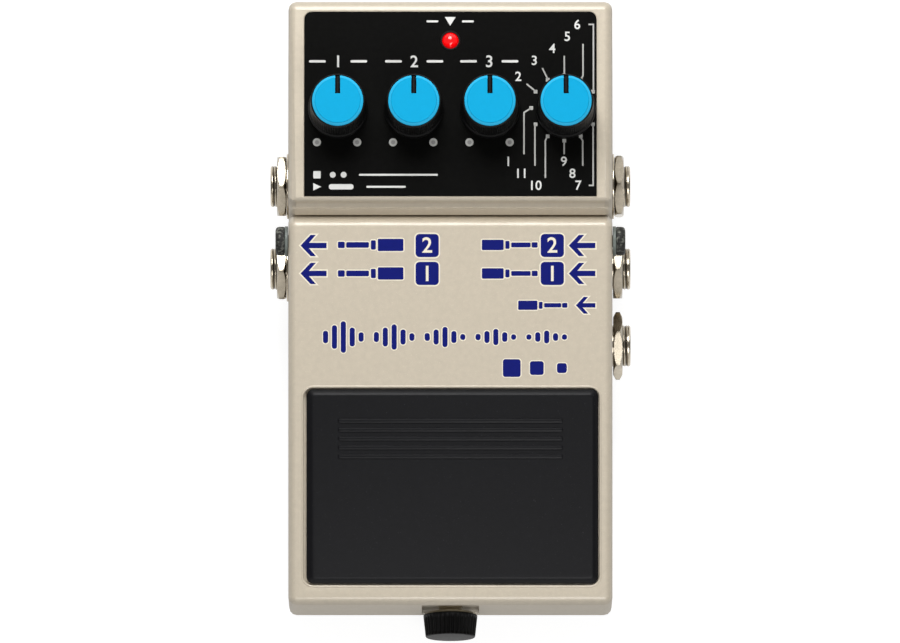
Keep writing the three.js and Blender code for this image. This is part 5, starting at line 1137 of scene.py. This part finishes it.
def terminal_pair(profile, columns, z=0):
    return [moved(lathe(profile, columns), x=side * TERMINAL_APART / 2, z=z) for side in (-1, 1)]


length = battery_size[0] - TERMINAL_REACH
joint = length * (1 - BAND_SHARE)
dark_levels = [*RIM, (JACKET_INSET, 0.9), (JACKET_INSET, joint)]
far_rim = [(inset, length - x) for inset, x in RIM[::-1]]
band_levels = [(JACKET_INSET, joint), (JACKET_INSET, length - 0.9), *far_rim]
terminal = rounded([[0.0, 0.0], [2.9, 0.0], [2.9, 1.2, 0.2], [2.5, 2.2, 0.2], [0.0, 2.2]], 4)
start = on_battery(battery_low[0])
piece("battery_jacket", *jacket(dark_levels), start, "case", battery_wrap, "battery_jacket", 40)
piece("battery_bright_end", *jacket(band_levels), start, "case", battery_band, "battery_jacket", 40,
      ["battery"])
piece("battery_terminals", *together(*terminal_pair(terminal, 36, length - 0.6)), start, "case", dull_steel,
      "battery_jacket", 40)

snap_low, snap_high = box_mm("battery_snap")
thick, snap_length, snap_height = snap_high - snap_low
levels = [(0.5, 0.05), (0.05, 0.4), (0.05, thick - 1.4), (0.9, thick - 0.6), (1.7, thick - 0.35)]
cover = drawn_in(snap_length, snap_height, levels, 2.6, 1, 8)
stud = rounded([[0.0, thick - 0.5], [2.6, thick - 0.5], [2.4, thick - 0.1, 0.2], [0.0, thick]], 5)
piece("battery_snap_cover", *together(cover, *terminal_pair(stud, 32)), on_battery(snap_low[0]), "case",
      snap_vinyl, "black_plastic", 40, ["battery_snap"])
print("battery of", battery_size.round(1), "mm")

# %% Leads
LEAD_RADIUS, LEAD_APART = 0.65, 1.8
LEADS_X, LEADS_Y = 18, -34.45


def smooth_route(corners):
    """Catmull-Rom: between two points a cubic whose ends run parallel to their neighbours' chord."""
    corners = np.asarray(corners, float)
    padded = np.vstack([2 * corners[0] - corners[1], corners, 2 * corners[-1] - corners[-2]])
    t = np.linspace(0, 1, 24, endpoint=False)[None, :, None]
    a, b, c, d = [padded[i:len(padded) - 3 + i, None] for i in range(4)]
    bend, twist = 2 * a - 5 * b + 4 * c - d, 3 * b - a - 3 * c + d
    curve = 0.5 * (2 * b + (c - a) * t + bend * t ** 2 + twist * t ** 3)
    return np.vstack([curve.reshape(-1, 3), corners[-1:]])


def lead_route(side):
    """From the snap's top over the bay's rear wall and down to the main board, as in the solid model."""
    x, y = LEADS_X + side * LEAD_APART / 2, LEADS_Y + side * LEAD_APART
    over_wall = [(x + 2.2, -29.1, 26.1), (x, -25.9, 27.4), (x, -22.9, 24.8)]
    return smooth_route([(22, y, 20.35), (22, y, 22.55), *over_wall, (x, -22.4, 18.1), (x, -22.4, 14.0)])


for colour, side, insulation in [("red", 1, red_wire), ("black", -1, black_wire)]:
    piece(f"{colour}_lead", *sweep(lead_route(side), LEAD_RADIUS, 14), UNTURNED, "case", insulation,
          f"{colour}_wire", 60, [f"battery_lead_{colour}"])
print("leads of", 2 * LEAD_RADIUS, "mm")

# %% [markdown]
# ## Underside
# Four screws with a cross recess hold the bottom plate.
# The recess is a dip in a turned head: a point sinks where it lies in either arm of the cross.

# %% Base screws
HEAD_RADIUS, HEAD_RISE, HEAD_SUNK = 2.28, 1.08, 1.1
ARM_HALF, ARM_REACH, ARM_SINK = 0.32, 1.25, 0.75
ROD_RADIUS, ROD_PITCH, ROD_GROOVE = 1.2, 0.8, 0.14


def screw_head():
    """Height = a low dome, less the sink where |x| or |y| is under half an arm within the arm's reach."""
    near, far = np.linspace(0, ARM_REACH + 0.15, 16), np.linspace(ARM_REACH + 0.3, HEAD_RADIUS, 8)
    rings, angle = np.concatenate([near, far])[:, None], around(96)
    x, y, _ = np.moveaxis(polar(rings, angle, 0), -1, 0)
    narrow = np.minimum(np.abs(x), np.abs(y))
    arm = np.clip((ARM_HALF - narrow) / 0.08, 0, 1) * np.clip((ARM_REACH - rings) / 0.1, 0, 1)
    dome = HEAD_RISE - 0.45 * (rings / HEAD_RADIUS) ** 2
    top, foot = polar(rings, angle, dome - ARM_SINK * arm), polar(HEAD_RADIUS, angle, 0)[None]
    points = np.concatenate([top, foot, foot * 0]).reshape(-1, 3)
    # The third array is painted shade in the cross recess.
    return points, grid_faces(len(rings) + 2, len(angle)), np.append(0.8 * arm, np.zeros(2 * len(angle)))


def rod_thread(angle, height, radius):
    return radius - ROD_GROOVE * ripple(2 * np.pi * height / ROD_PITCH - angle) * (radius > 0.5)


def screw_rod(start, end):
    threaded = np.column_stack([np.full(40, ROD_RADIUS), np.linspace(start, end, 40)])
    return lathe(np.concatenate([[[0.0, start]], threaded, [[0.0, end]]]), 32, rod_thread)


facing_down = Matrix.Rotation(np.pi, 4, "X")
*head, dips = screw_head()
for name in [f"base_screw_{count}" for count in range(1, 5)]:
    low, high = box_mm(name)
    x, y, _ = (low + high) / 2
    rod = screw_rod(-(high[2] - low[2] - HEAD_SUNK), 0.1)
    piece(name + "_cross_head", *together(head, rod), shifted(x, y, low[2] + HEAD_SUNK) @ facing_down, "case",
          dull_steel, "zinc_steel", 35, [name], np.append(dips, np.zeros(len(rod[0]))))
print("base screws with a cross", 2 * ARM_REACH, "mm across")

# %% [markdown]
# ## Floor, light and size
# The pedal stands on a pale floor that the camera sees as white, apart from a faint shadow.
# A soft lamp above and behind gives the rear strip its brightness and leaves the front face darker.
# A weaker one in front and above lights what faces the front a little.
# The studio reflects as light walls in front and behind, with dark sides and ceiling between them.
# These draw the dark lines and bright faces that make metal look like metal.

# %% Floor
FLOOR_HALF, FLOOR_GAP = 3.0, 0.00005     # the gap keeps the floor off the pad's underside
FLOOR_GREY, FLOOR_BRIGHTNESS = (0.3, 0.3, 0.3, 1), 0.86
WHITE = (1, 1, 1, 1)
corners = [(x * FLOOR_HALF, y * FLOOR_HALF, -FLOOR_GAP) for x, y in [(-1, -1), (1, -1), (1, 1), (-1, 1)]]
floor_mesh = bpy.data.meshes.new("floor")
floor_mesh.from_pydata(corners, [], [(0, 1, 2, 3)])
floor = new_object("floor", floor_mesh)
floor_material = bpy.data.materials.new("pale floor")
floor_material.use_nodes = True
tree = floor_material.node_tree
shader = tree.nodes["Principled BSDF"]
set_inputs(shader, [("Base Color", FLOOR_GREY), ("Roughness", 0.9), ("Specular IOR Level", 0.0),
                    ("Emission Color", WHITE)])
ray, geometry = node(tree, "LightPath"), node(tree, "NewGeometry")
seen, seen_or_through, from_below = math(tree, "MAXIMUM"), math(tree, "MAXIMUM"), math(tree, "MULTIPLY")
brightness = math(tree, "MULTIPLY", None, FLOOR_BRIGHTNESS)
clear, choice = node(tree, "BsdfTransparent"), node(tree, "MixShader")
wire(tree, (ray, "Is Camera Ray", seen, 0), (ray, "Is Glossy Ray", seen, 1), (seen, 0, seen_or_through, 0),
     (ray, "Is Transmission Ray", seen_or_through, 1), (seen_or_through, 0, brightness, 0),
     (brightness, 0, shader, "Emission Strength"))
# A camera below the floor looks through it and sees the pedal's underside
wire(tree, (geometry, "Backfacing", from_below, 0), (ray, "Is Camera Ray", from_below, 1),
     (from_below, 0, choice, 0), (shader, 0, choice, 1), (clear, 0, choice, 2),
     (choice, 0, tree.nodes["Material Output"], "Surface"))
floor_mesh.materials.append(floor_material)
floor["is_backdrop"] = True
print("floor", 2 * FLOOR_HALF, "m wide")

# %% The studio around
HORIZON, ZENITH = 0.2, 0.27       # what lights matt surfaces
WALL, CEILING = 0.85, 0.22        # what glossy ones reflect
ZENITH_STARTS, WALL_STARTS, WALL_ENDS = 0.75, 0.4, 0.85
world = bpy.data.worlds.new("studio")
bpy.context.scene.world = world
world.use_nodes = True
tree = world.node_tree


def ramp(source, leaving, start, end, low, high):
    """A smooth step of one value, from low at the start to high at the end."""
    limits = [("From Min", start), ("From Max", end), ("To Min", low), ("To Max", high)]
    made = node(tree, "MapRange", limits, interpolation_type="SMOOTHSTEP")
    wire(tree, (source, leaving, made, "Value"))
    return made


direction, parts, forward = node(tree, "TexCoord"), node(tree, "SeparateXYZ"), math(tree, "ABSOLUTE")
wire(tree, (direction, "Generated", parts, 0), (parts, "Y", forward, 0))
soft_light = ramp(parts, "Z", 0.0, ZENITH_STARTS, HORIZON, ZENITH)
walls = ramp(forward, 0, WALL_STARTS, WALL_ENDS, CEILING, WALL)
ray, in_gloss, seen = node(tree, "LightPath"), node(tree, "Mix", data_type="FLOAT"), math(tree, "MAXIMUM")
backdrop = tree.nodes["Background"]
set_inputs(backdrop, [("Color", WHITE)])
wire(tree, (ray, "Is Glossy Ray", in_gloss, "Factor"), (soft_light, "Result", in_gloss, "A"),
     (walls, "Result", in_gloss, "B"), (ray, "Is Camera Ray", seen, 0),
     (in_gloss, "Result", seen, 1), (seen, 0, backdrop, "Strength"))

# %% Lamps
LIT_SPOT = Vector((0, 0, 0.03))
LAMPS = [("soft_key", (-0.03, 0.3, 0.46), 0.32, 2.2), ("front_fill", (0.1, -0.4, 0.6), 0.35, 1.5)]
for name, place, size, power in LAMPS:
    data = bpy.data.lights.new(name, "AREA")
    data.shape, data.size, data.energy = "DISK", size, power
    light = new_object(name, data)
    light.location = place
    light.rotation_euler = (LIT_SPOT - Vector(place)).to_track_quat("-Z", "Y").to_euler()
bpy.context.scene.view_settings.view_transform = "Standard"
print(len(bpy.data.lights), "lamps")

# %% Sizes, and the end
low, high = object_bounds()
print("visual box", [round(v / MM, 2) for v in high - low], "mm")
